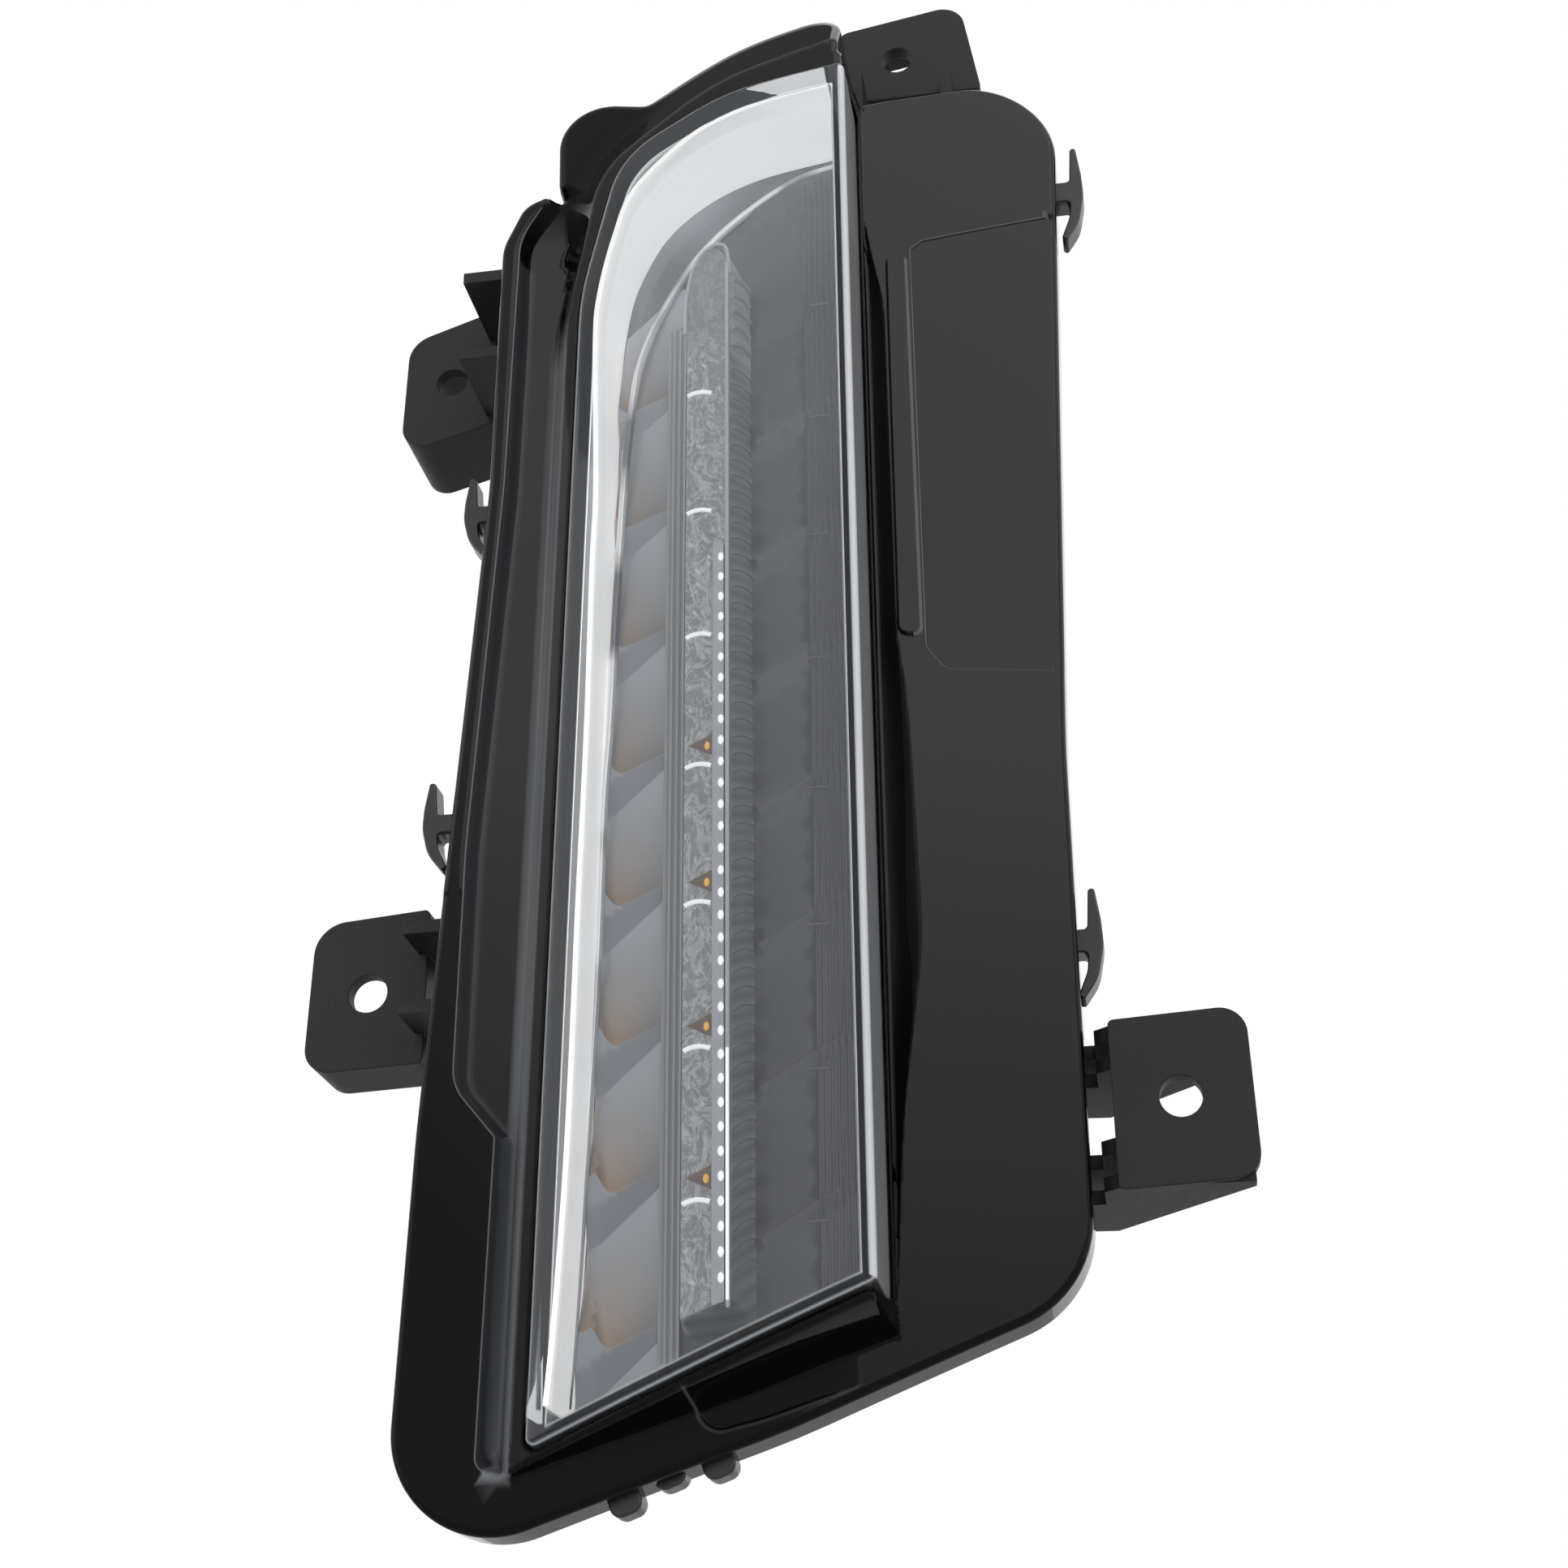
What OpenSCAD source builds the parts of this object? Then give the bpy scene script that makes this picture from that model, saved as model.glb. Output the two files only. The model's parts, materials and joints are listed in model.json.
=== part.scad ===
// Daytime running light for a front bumper: a sail-shaped clear lens in a gloss-black bezel,
// on a housing with four fixing ears. X is right, Z is up and the front faces -Y.
// Places are measured from the middle of the lamp. The last step moves the whole part so that
// its origin is the middle of the right ear's hole, on the ear's front face.

/* [Bezel] */
// Radius of the bezel's curved face
face_r = 600; // [450:10:900]
// Where that face looks straight ahead, left of the lamp's middle
face_x = -114; // [-130:1:-100]
// Height of the face there, behind the zero plane
face_y = -9; // [-11:0.5:-7]
// Lowest corner of the bezel
bezel_bottom = -129.5; // [-136:0.5:-127]
// Highest corner of the bezel, over the lens
bezel_top = 167.6; // [163:0.2:172]
// Left edge of the bezel at its foot
bezel_left = -61.8; // [-66:0.2:-60]
// Right edge of the bezel at its foot
bezel_right = 46.8; // [44:0.2:52]
// How much further right that edge lies at its top
bezel_flare = 7.4; // [5:0.2:10]
// Wall of the bezel
skin_t = 2.2; // [1.8:0.1:2.4]
// Depth of the bezel's skirt behind its face
skirt_depth = 9; // [7:0.5:9.5]
// Depth of the long pocket at the left
pocket_depth = 5.5; // [3:0.5:5.5]
// Depth of the narrow groove that runs on from the pocket to the lens's foot
groove_depth = 4.5; // [2.5:0.5:4.5]
// Width of the channel at the lens's right side
channel_w = 6; // [4:0.2:6.4]
// Depth of that channel beside the lens
channel_depth = 2.8; // [1.5:0.1:3.2]
// Depth of the sunken corner under the lens's foot
foot_step = 0.7; // [0.3:0.1:1]
// How far the rim's front lies behind the lens's front
rim_drop = 1.2; // [0.6:0.2:3]
// Depth of the step around the right panel
panel_step = 0.6; // [0.3:0.1:1]
// Height of the strip beside the lens
strip_h = 1.2; // [0.6:0.2:2]

/* [Lens] */
// Radius of the lens's curved front
lens_r = 300; // [250:10:500]
// Where the lens looks straight ahead
lens_x = 8; // [0:1:15]
// Height of the lens there, in front of the zero plane
lens_y = -12; // [-14:0.5:-11]
// Left foot of the lens
lens_left = -39.5; // [-41:0.1:-38]
// Right side of the lens
lens_right = 15; // [13:0.2:16]
// Lowest corner of the lens
lens_bottom = -110.8; // [-112:0.2:-108]
// Highest corner of the lens
lens_top = 146; // [143:0.2:148]
// Wall of the lens
lens_t = 2.5; // [2:0.1:2.8]
// Where the lens's side walls end
lens_foot = 19; // [18:0.5:19.5]
// Gap between the lens and the bezel's opening
lens_gap = 0.4; // [0.3:0.1:0.6]

/* [Housing] */
// Wall of the housing
wall = 2.4; // [2:0.1:2.8]
// Back face of the housing
back_y = 40; // [38:0.5:46]
// Bottom of the channel that the lens stands in
channel_y = 21; // [20.5:0.5:22]
// Gap at each side of the lens in its channel
channel_gap = 0.3; // [0.2:0.05:0.4]
// Gap between the bezel's skirt and the housing's plate
plate_gap = 0.5; // [0.4:0.1:0.8]

/* [Ears] */
// Thickness of the ears' plates
ear_t = 3; // [2.5:0.1:4]
// Wall of the ears' boxes and ribs
ear_wall = 2.4; // [2:0.1:3]
// Front face of the two lower ears
low_ear_y = 14; // [12:0.5:16]
// Front face of the two upper ears
high_ear_y = 24; // [22:0.5:26]
// Diameter of the holes in the lower ears
low_hole_d = 7; // [6:0.1:8]
// Diameter of the holes in the upper ears
high_hole_d = 6.4; // [5.5:0.1:7.5]
// Hole of the right ear, out from the bezel's right edge
right_ear_out = 15.4; // [14:0.2:18]
// Height of the right ear's hole
right_ear_z = -54.7; // [-58:0.1:-52]
// Hole of the left ear, out from the bezel's left edge
left_ear_out = 14.5; // [14:0.1:17]
// Height of the left ear's hole
left_ear_z = -27.4; // [-30:0.1:-25]
// Hole of the shoulder ear at the upper left
shoulder_ear_x = -70.6; // [-73:0.1:-70]
// Height of the shoulder ear's hole
shoulder_ear_z = 106.9; // [104:0.1:110]
// Hole of the top ear
top_ear_x = 21.9; // [19:0.1:24]
// Height of the top ear's hole
top_ear_z = 176.4; // [175:0.1:182]

/* [Light] */
// Number of light cells
cells = 8; // [6:1:8]
// Distance from one cell to the next
cell_pitch = 25.2; // [24:0.1:25.2]
// Middle of the highest cell
first_cell_z = 91.2; // [88:0.1:92]
// Middle of the light bar
bar_x = -12.7; // [-14:0.1:-12]
// Width of the bar's front
bar_front_w = 7.2; // [5:0.2:8]
// Width of the bar's foot
bar_foot_w = 12.8; // [11:0.2:13]
// Front of the light bar
bar_front_y = -4; // [-5:0.5:0]
// Front of the light board
board_y = 14; // [13.5:0.5:15]
// Thickness of the light board
board_t = 1.6; // [1:0.1:2]
// Front of the reflector's and the inner bezel's plates
floor_y = 10; // [9:0.5:11]
// Depth of the reflector's scoops
scoop_depth = 3; // [1:0.2:3.4]

/* [Hidden] */
$fn = 40;
// Cuts and blanks reach well past the part
reach = 400;
fine_step = 9;
bezel_fn = 360;
right_ear_x = bezel_right + right_ear_out;
left_ear_x = bezel_left - left_ear_out;

// Rounded outlines: each corner is [x, z, radius], listed anticlockwise as seen from the front.
function unit(v) = v / norm(v);
function xz(p) = [p[0], p[1]];
function turn(a, b, c) = (b[0] - a[0]) * (c[1] - b[1]) - (b[1] - a[1]) * (c[0] - b[0]);
function wrap(t) = t > 180 ? t - 360 : t < -180 ? t + 360 : t;
function arc_points(c, r, from, sweep, n) =
    [for (i = [0:n]) [c[0] + r * cos(from + sweep * i / n), c[1] + r * sin(from + sweep * i / n)]];
function corner(a, b, c) =
    b[2] < 0.01 ? [xz(b)] :
    let (u = unit(xz(a) - xz(b)),
        v = unit(xz(c) - xz(b)),
        half = acos(u * v) / 2,
        t = b[2] / tan(half),
        centre = xz(b) + unit(u + v) * b[2] / sin(half),
        p = xz(b) + u * t - centre,
        q = xz(b) + v * t - centre,
        from = atan2(p[1], p[0]),
        sweep = wrap(atan2(q[1], q[0]) - from))
    arc_points(centre, b[2], from, sweep, max(2, ceil(abs(sweep) / fine_step)));
function near(p, i) = p[(i + len(p)) % len(p)];
function rounded(p) = [for (i = [0:len(p) - 1]) each corner(near(p, i - 1), p[i], near(p, i + 1))];
// The same outline, moved outward by d
function grow(p, d) =
    [for (i = [0:len(p) - 1])
        let (u = unit(xz(p[i]) - xz(near(p, i - 1))),
            v = unit(xz(near(p, i + 1)) - xz(p[i])),
            m = [u[1] + v[1], -u[0] - v[0]] / (1 + u * v),
            bend = turn(near(p, i - 1), p[i], near(p, i + 1)) > 0 ? d : -d)
        [p[i][0] + m[0] * d, p[i][1] + m[1] * d, p[i][2] < 0.01 ? 0 : max(0.2, p[i][2] + bend)]];

// Outlines
bezel_points = [
    [bezel_left, bezel_bottom, 16],
    [bezel_left * 0.35 + bezel_right * 0.45, bezel_bottom + 22.3, 150],
    [bezel_right, bezel_bottom + 43.5, 20],
    [bezel_right + 0.8, bezel_bottom + 139, 250],
    [bezel_right + bezel_flare, bezel_top - 8.1, 15],
    [lens_right - 1.2, bezel_top - 18.4, 1],
    [lens_right - 1.2, bezel_top, 7],
    [-5, bezel_top - 4, 30],
    [-25.5, bezel_top - 18.4, 4],
    [-42.6, bezel_top - 17.4, 10.5],
    [-42.2, bezel_top - 38.6, 1],
    [-48.8, bezel_top - 42.8, 6],
    [bezel_left + 9.3, bezel_top - 52, 12],
    [bezel_left + 8.9, bezel_bottom + 190, 150],
    [bezel_left + 2, bezel_bottom + 70, 200]];
lens_points = [
    [lens_left, lens_bottom, 1.5],
    [lens_right, lens_bottom + 22.5, 1.5],
    [lens_right, lens_top, 1.5],
    [lens_right - 23, lens_top - 3.8, 40],
    [lens_right - 44, lens_top - 15, 18],
    [lens_left + 3.2, lens_top - 46, 60]];
rim_points = [
    [lens_left - 3, lens_bottom - 3, 2],
    [lens_right - 0.8, lens_bottom + 20.4, 0.5],
    [lens_right - 0.8, lens_top + 6.6, 1],
    [lens_right - 25, lens_top - 0.5, 45],
    [lens_right - 47.5, lens_top - 16.5, 18],
    [lens_left + 0.5, lens_top - 48, 60]];
pocket_points = [
    [lens_left - 1, lens_bottom + 50, 1],
    [lens_left + 2.4, lens_top - 48, 0],
    [lens_left + 6.5, lens_top - 21, 0],
    [-41.5, lens_top - 15.5, 2],
    [-48.6, lens_top - 29, 14],
    [-49.6, lens_top - 84, 100],
    [-53.3, lens_top - 156, 150],
    [-53.6, lens_bottom + 59, 8]];
groove_w = 3.5;
groove_points = [
    [lens_left - 2.5, lens_bottom - 1.6, 1],
    [lens_left - 2.5, lens_bottom + 62, 0],
    [lens_left - 6.9, lens_bottom + 62, 0],
    [lens_left - 4.4 - groove_w, lens_bottom - 1.6, 1.5]];
foot_points = [
    [-16.8, lens_bottom + 14.8, 1],
    [-13.9, lens_bottom + 2, 4],
    [-4, lens_bottom + 4.6, 3],
    [bezel_right + 13, lens_bottom + 26.8, 0],
    [bezel_right + 13, lens_bottom + 50, 0]];
cap_points = [
    [lens_right - 1.2, lens_top - 16, 0],
    [lens_right - 1.2, bezel_top, 7],
    [-5, bezel_top - 4, 30],
    [-25, bezel_top - 19, 0],
    [-34, lens_top - 12, 0],
    [-34, lens_top - 24, 0]];
panel_points = [
    [lens_right + 9.4, 28, 3],
    [lens_right + 12.7, 23.6, 3],
    [bezel_right + 20, 24.4, 0],
    [bezel_right + 20, 129, 0],
    [lens_right + 11.7, 116.8, 1],
    [lens_right + 9.4, 114.6, 1]];
strip_points = [
    [lens_right + 4.6, 29.8, 2],
    [lens_right + 9.2, 29.8, 2],
    [lens_right + 9, 112.2, 0.5],
    [lens_right + 4.8, 112.2, 0.5]];

// The bezel's face, and the solid behind it
function face(x) = face_y + face_r - sqrt(face_r * face_r - pow(x - face_x, 2));
module slab(y0, y1) {
    translate([0, y1, 0])
        rotate([90, 0, 0])
            linear_extrude(y1 - y0)
                children();
}
module shape(p) {
    polygon(rounded(p));
}
module block(p, y0, y1) {
    slab(y0, y1)
        shape(p);
}
module behind(d) {
    translate([face_x, face_y + face_r, -reach / 2])
        cylinder(r = face_r - d, h = reach, $fn = bezel_fn);
}
module behind_lens(d) {
    translate([lens_x, lens_y + lens_r, -reach / 2])
        cylinder(r = lens_r - d, h = reach, $fn = bezel_fn);
}
// A round bar along Y, from y0 to y1
module pin(x, z, r, y0, y1) {
    translate([x, y0, z])
        rotate([-90, 0, 0])
            cylinder(r = r, h = y1 - y0);
}
module box(x0, x1, y0, y1, z0, z1) {
    translate([x0, y0, z0])
        cube([x1 - x0, y1 - y0, z1 - z0]);
}
front_y = lens_y - 10;
far_y = back_y + 10;

// Lens
module outer_lens() {
    color([0.85, 0.9, 0.95, 0.4])
        difference() {
            intersection() {
                block(lens_points, front_y, lens_foot);
                behind_lens(0);
            }
            intersection() {
                block(grow(lens_points, -lens_t), front_y, lens_foot + 1);
                behind_lens(lens_t);
            }
        }
}
module lens_seal() {
    color([0.2, 0.2, 0.2])
        difference() {
            block(lens_points, lens_foot, channel_y);
            block(grow(lens_points, -lens_t), lens_foot - 1, channel_y + 1);
        }
}

// Bezel
cap_x = 8;
cap_z = lens_top - 56;
cap_rho = 58;
cap_slope = 0.69;
module cap_cone(d) {
    translate([cap_x, front_y + d * 1.2, cap_z])
        rotate([-90, 0, 0])
            cylinder(
                h = far_y - front_y,
                r1 = cap_rho + (front_y - lens_y - 2.5) / cap_slope,
                r2 = cap_rho + (far_y - lens_y - 2.5) / cap_slope,
                $fn = 180);
}
module cap_body(d) {
    intersection() {
        block(grow(cap_points, -1.3 * d), front_y, far_y);
        behind_lens(rim_drop + d);
        cap_cone(d);
    }
}
module bezel_shell() {
    difference() {
        union() {
            intersection() {
                block(bezel_points, front_y, far_y);
                behind(0);
            }
            cap_body(0);
        }
        intersection() {
            block(grow(bezel_points, -skin_t), front_y, far_y + 1);
            behind(skin_t);
        }
        cap_body(skin_t);
        behind(skirt_depth);
    }
}
module pocket_tub() {
    difference() {
        intersection() {
            block(grow(pocket_points, skin_t), front_y, far_y);
            behind(skin_t / 2);
        }
        behind(pocket_depth + skin_t);
    }
}
module pocket_cut() {
    difference() {
        block(pocket_points, front_y, far_y);
        behind(pocket_depth);
    }
}
// Narrow groove below the pocket, between the border and the rim's slope
module groove_tub() {
    difference() {
        intersection() {
            block(grow(groove_points, skin_t), front_y, far_y);
            behind(skin_t / 2);
        }
        behind(groove_depth + skin_t);
    }
}
module groove_cut() {
    difference() {
        block(groove_points, front_y, far_y);
        behind(groove_depth);
    }
}
// Channel at the lens's right side: round in section, deepest at the lens, with round ends
channel_r = (channel_w * channel_w + channel_depth * channel_depth) / (2 * channel_depth);
channel_z0 = lens_bottom + 24;
channel_z1 = strip_points[2][1] + 12;
module channel_bar(d) {
    translate([lens_right, face(lens_right) + channel_depth - channel_r, 0]) {
        translate([0, 0, channel_z0])
            cylinder(r = channel_r + d, h = channel_z1 - channel_z0, $fn = 90);
        for (z = [channel_z0, channel_z1])
            translate([0, 0, z])
                sphere(r = channel_r + d, $fn = 90);
    }
}
module channel_tub() {
    intersection() {
        channel_bar(skin_t);
        behind(skin_t / 2);
        box(lens_right - 1, lens_right + 20, front_y, far_y, -reach / 2, reach / 2);
    }
}
// Corner under the lens's foot, sunk at its left and running out to the right
foot_fade = 27;
module foot_cut() {
    x = foot_points[1][0] + foot_fade;
    difference() {
        block(foot_points, front_y, far_y);
        translate([x, face(x), 0])
            rotate([0, 0, asin(foot_step / foot_fade)])
                translate([-x, -face(x), 0])
                    behind(0);
    }
}
module rim() {
    difference() {
        intersection() {
            block(rim_points, front_y, far_y);
            behind_lens(rim_drop);
        }
        behind(pocket_depth + skin_t);
    }
}
// Sloped wall from the rim's left edge down to the pocket and the flank
slope_w = 4.3;
slope_lean = atan(3.5 / (lens_top - lens_bottom - 45));
module rim_slope() {
    top = face(rim_points[0][0]) - 4;
    foot = face(rim_points[0][0] - slope_w) + pocket_depth;
    difference() {
        translate([rim_points[0][0] + 0.5, 0, rim_points[0][1] + 2])
            rotate([0, slope_lean, 0])
                linear_extrude(lens_top - lens_bottom - 48)
                    polygon([
                        [0, top],
                        [-slope_w, foot],
                        [-slope_w, foot + skin_t],
                        [0, foot + skin_t]]);
        behind(pocket_depth + skin_t);
    }
}
module snap_hook(x, z, side) {
    y = face(x) + skin_t;
    translate([x, 0, z])
        mirror([side < 0 ? 1 : 0, 0, 0])
            slab(y, y + 5)
                polygon([
                    [-1.5, -2.3], [2.6, -2.3], [2.2, -6], [0.3, -10.8], [1.2, -11.6],
                    [4, -7.5], [5.2, -1], [5, 4], [4.2, 10.5], [3, 10], [2.6, 2.3], [-1.5, 2.3]]);
}
hook_tilt = 20;
module foot_hooks() {
    for (i = [0:2])
        translate([-26.5 + 7 * i, 0, bezel_bottom + 14.2 + 2.7 * i])
            rotate([0, -hook_tilt, 0])
                box(-2.6, 2.6, face(-26.5 + 7 * i) + 3.5, face(-26.5 + 7 * i) + 8, i == 1 ? -2.4 : -4, 3);
}
// Screw places of the bezel: [x, z]
bezel_screw_at = [
    [-33, bezel_top - 28.4],
    [bezel_left + 9.8, bezel_bottom + 38],
    [bezel_right - 15, bezel_bottom + 52],
    [bezel_right - 5.6, bezel_bottom + 170],
    [bezel_right - 10, bezel_top - 28]];
boss_r = 3.8;
screw_r = 1.5;
function boss_y(x) = face(x) + skirt_depth - 0.4;
module bezel_bosses() {
    for (p = bezel_screw_at)
        difference() {
            intersection() {
                pin(p[0], p[1], boss_r, face(p[0]) - 5, boss_y(p[0]));
                behind(skin_t / 2);
            }
            pin(p[0], p[1], screw_r, face(p[0]) + skin_t + 0.8, boss_y(p[0]) + 1);
        }
}
module front_bezel() {
    color([0.06, 0.06, 0.07])
        difference() {
            union() {
                difference() {
                    union() {
                        bezel_shell();
                        pocket_tub();
                        groove_tub();
                        channel_tub();
                    }
                    pocket_cut();
                    groove_cut();
                    channel_bar(0);
                    foot_cut();
                }
                rim();
                rim_slope();
                bezel_bosses();
                intersection() {
                    block(strip_points, front_y, far_y);
                    difference() {
                        behind(-strip_h);
                        behind(skin_t / 2);
                    }
                }
                snap_hook(bezel_right + 6.3, 125.6, 1);
                snap_hook(bezel_right + 0.5, -25, 1);
                snap_hook(bezel_left + 8.4, 62, -1);
                snap_hook(bezel_left + 4.2, -1, -1);
                foot_hooks();
            }
            block(grow(lens_points, lens_gap), front_y - 1, far_y + 2);
            difference() {
                block(panel_points, front_y - 1, far_y);
                behind(panel_step);
            }
            // Notch in the skirt where the right ear's arm comes out
            box(bezel_right - 3, bezel_right + 6, face(bezel_right) + 3, far_y, right_ear_z - 16, right_ear_z + 13);
        }
}

// Housing
plate_y = skirt_depth + plate_gap;
module housing_plate() {
    difference() {
        intersection() {
            block(grow(bezel_points, -skin_t - plate_gap), front_y, far_y);
            behind(plate_y);
        }
        behind(plate_y + wall);
    }
}
module housing_box() {
    intersection() {
        block(grow(lens_points, channel_gap + wall), front_y, channel_y + wall);
        behind(plate_y);
    }
    block(grow(lens_points, -1), channel_y, back_y);
}
inner_side = lens_t + channel_gap;
module housing_hollow() {
    // Open front, in front of the channel
    block(grow(lens_points, channel_gap), front_y - 1, seat_y);
    // Channel round the lens's walls
    difference() {
        block(grow(lens_points, channel_gap), front_y, channel_y);
        block(grow(lens_points, -inner_side), front_y - 1, channel_y + 1);
    }
    block(grow(lens_points, -inner_side - wall * 0.8), front_y, channel_y + 4);
    block(grow(lens_points, -1 - wall), channel_y + wall, back_y - wall);
}
module ear_plate(p, y, depth) {
    difference() {
        block(p, y, y + depth);
        block(grow(p, -ear_wall), y + ear_t, y + depth + 1);
    }
}
right_ear = [
    [right_ear_x - 11, right_ear_z - 15, 1],
    [right_ear_x + 11.9, right_ear_z - 14, 4.5],
    [right_ear_x + 11.5, right_ear_z + 14.9, 4.5],
    [right_ear_x - 11, right_ear_z + 13.7, 1]];
left_ear = [
    [left_ear_x - 10.9, left_ear_z - 14.2, 4.5],
    [left_ear_x + 10.5, left_ear_z - 13.4, 1],
    [left_ear_x + 10.5, left_ear_z + 15.1, 1],
    [left_ear_x - 10.3, left_ear_z + 13.4, 6]];
shoulder_ear = [
    [shoulder_ear_x - 10, shoulder_ear_z - 16, 4.5],
    [shoulder_ear_x + 9, shoulder_ear_z - 10.6, 1],
    [shoulder_ear_x + 9, shoulder_ear_z + 16.8, 1],
    [shoulder_ear_x - 9.4, shoulder_ear_z + 10.6, 6]];
top_ear = [
    [top_ear_x - 11, top_ear_z - 10, 1],
    [top_ear_x + 17.2, top_ear_z - 10, 1],
    [top_ear_x + 13.6, top_ear_z + 13, 5],
    [top_ear_x - 12.6, top_ear_z + 8.6, 3]];
// Gusset of the right ear, cut from the side: it tapers towards the ear's tip
module right_gusset(z) {
    translate([0, 0, z])
        linear_extrude(ear_wall)
            polygon([
                [right_ear_x + 10.8, low_ear_y + 1],
                [right_ear_x + 10.8, low_ear_y + ear_t + 1],
                [right_ear_x - 12, back_y + 2],
                [lens_right - 1, back_y - 2],
                [lens_right - 1, face(lens_right) + plate_y + 4],
                [bezel_right - 3, face(bezel_right) + plate_y + 2],
                [right_ear_x - 13.4, face(bezel_right) + plate_y + 2],
                [right_ear_x - 13.4, low_ear_y + ear_t],
                [right_ear_x - 11, low_ear_y + 1]]);
}
module left_rib(x0, x1, y0, y1, z) {
    box(x0, x1, y0, y1, z, z + ear_wall);
}
function plate_back(x) = face(x) + plate_y + 1;
// Depth of the ears' boxes; the shoulder ear's reaches further back
ear_box_depth = 12;
shoulder_box_depth = ear_box_depth * 1.5;
module ears() {
    block(right_ear, low_ear_y, low_ear_y + ear_t);
    for (dz = [-14.4, -8.4, 5.6, 10.6])
        right_gusset(right_ear_z + dz);
    ear_plate(left_ear, low_ear_y, ear_box_depth);
    for (dz = [-8, 6.6])
        left_rib(left_ear_x + 9, lens_left, plate_back(bezel_left + 3), low_ear_y + ear_box_depth, left_ear_z + dz);
    ear_plate(shoulder_ear, high_ear_y, shoulder_box_depth);
    for (dz = [-9, 9])
        left_rib(shoulder_ear_x + 7.5, lens_left + 3, plate_back(shoulder_ear_x + 16), high_ear_y + 15, shoulder_ear_z + dz);
    ear_plate(top_ear, high_ear_y, ear_box_depth);
    for (dx = [-9, 9])
        box(top_ear_x + dx, top_ear_x + dx + ear_wall,
            face(top_ear_x + dx) + plate_y + 1.6, high_ear_y + ear_box_depth,
            bezel_top - 36, top_ear_z - 8);
}
pad_r = 5.4;
pad_t = 5;
module screw_pads() {
    for (p = bezel_screw_at)
        pin(p[0], p[1], pad_r, boss_y(p[0]) - 1, boss_y(p[0]) + plate_gap + pad_t);
}
module screw_pad_cuts() {
    for (p = bezel_screw_at) {
        pin(p[0], p[1], boss_r + 0.4, front_y, boss_y(p[0]) + 0.2);
        pin(p[0], p[1], screw_r + 0.3, front_y, far_y);
    }
}
// Back wall: window of the heat sink, hole of the socket, stub of the vent
sink_z0 = -70;
sink_z1 = 86;
sink_w = 24;
sink_foot_w = 9;
window_gap = 0.8;
socket_z = -83;
socket_core = [17, 8];
vent_z = 103;
vent_stub_r = 4;
vent_stub_h = 4;
trim_screw_left_x = -28.8;
trim_screw_right_x = 5.4;
trim_screw_left_z = [-58, 66];
trim_screw_right_z = [-66, 10, 100];
module back_holes() {
    box(bar_x - sink_foot_w / 2 - window_gap, bar_x + sink_foot_w / 2 + window_gap,
        back_y - 10, far_y, sink_z0 + 8 - window_gap, sink_z1 - 8 + window_gap);
    box(bar_x - socket_core[0] / 2 - 0.3, bar_x + socket_core[0] / 2 + 0.3,
        back_y - 10, far_y, socket_z - socket_core[1] / 2 - 0.3, socket_z + socket_core[1] / 2 + 0.3);
    pin(bar_x, vent_z, vent_stub_r - 1.4, back_y - 10, far_y);
    for (z = trim_screw_left_z)
        pin(trim_screw_left_x, z, screw_r + 0.3, back_y - 10, far_y);
    for (z = trim_screw_right_z)
        pin(trim_screw_right_x, z, screw_r + 0.3, back_y - 10, far_y);
    for (p = sink_screw_at)
        pin(p[0], p[1], screw_r, back_y - 7, far_y);
    for (x = socket_screw_x)
        pin(x, socket_z, screw_r, back_y - 7, far_y);
}
sink_screw_at = [
    for (x = [bar_x - sink_w / 2 + 3.4, bar_x + sink_w / 2 - 3.4])
        for (z = [sink_z0 + 3.6, sink_z1 - 3.6])
            [x, z]];
socket_screw_x = [bar_x - 14.4, bar_x + 14.4];
module wall_bosses() {
    for (p = sink_screw_at)
        pin(p[0], p[1], 3, back_y - 8, back_y - wall / 2);
    for (x = socket_screw_x)
        pin(x, socket_z, 3, back_y - 8, back_y - wall / 2);
    pin(bar_x, vent_z, vent_stub_r, back_y - wall / 2, back_y + vent_stub_h);
}
module rear_housing() {
    color([0.16, 0.16, 0.17])
        difference() {
            union() {
                difference() {
                    union() {
                        housing_plate();
                        housing_box();
                        screw_pads();
                        ears();
                    }
                    housing_hollow();
                }
                wall_bosses();
            }
            screw_pad_cuts();
            back_holes();
            pin(right_ear_x, right_ear_z, low_hole_d / 2, front_y, far_y);
            pin(left_ear_x, left_ear_z, low_hole_d / 2, front_y, far_y);
            pin(shoulder_ear_x, shoulder_ear_z, high_hole_d / 2, front_y, far_y);
            pin(top_ear_x, top_ear_z, high_hole_d / 2, front_y, far_y);
        }
}

// Inner trims
trim_gap = 0.5;
surround_t = 1.5;
surround_out = lens_t + trim_gap;
surround_in = surround_out + surround_t;
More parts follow.
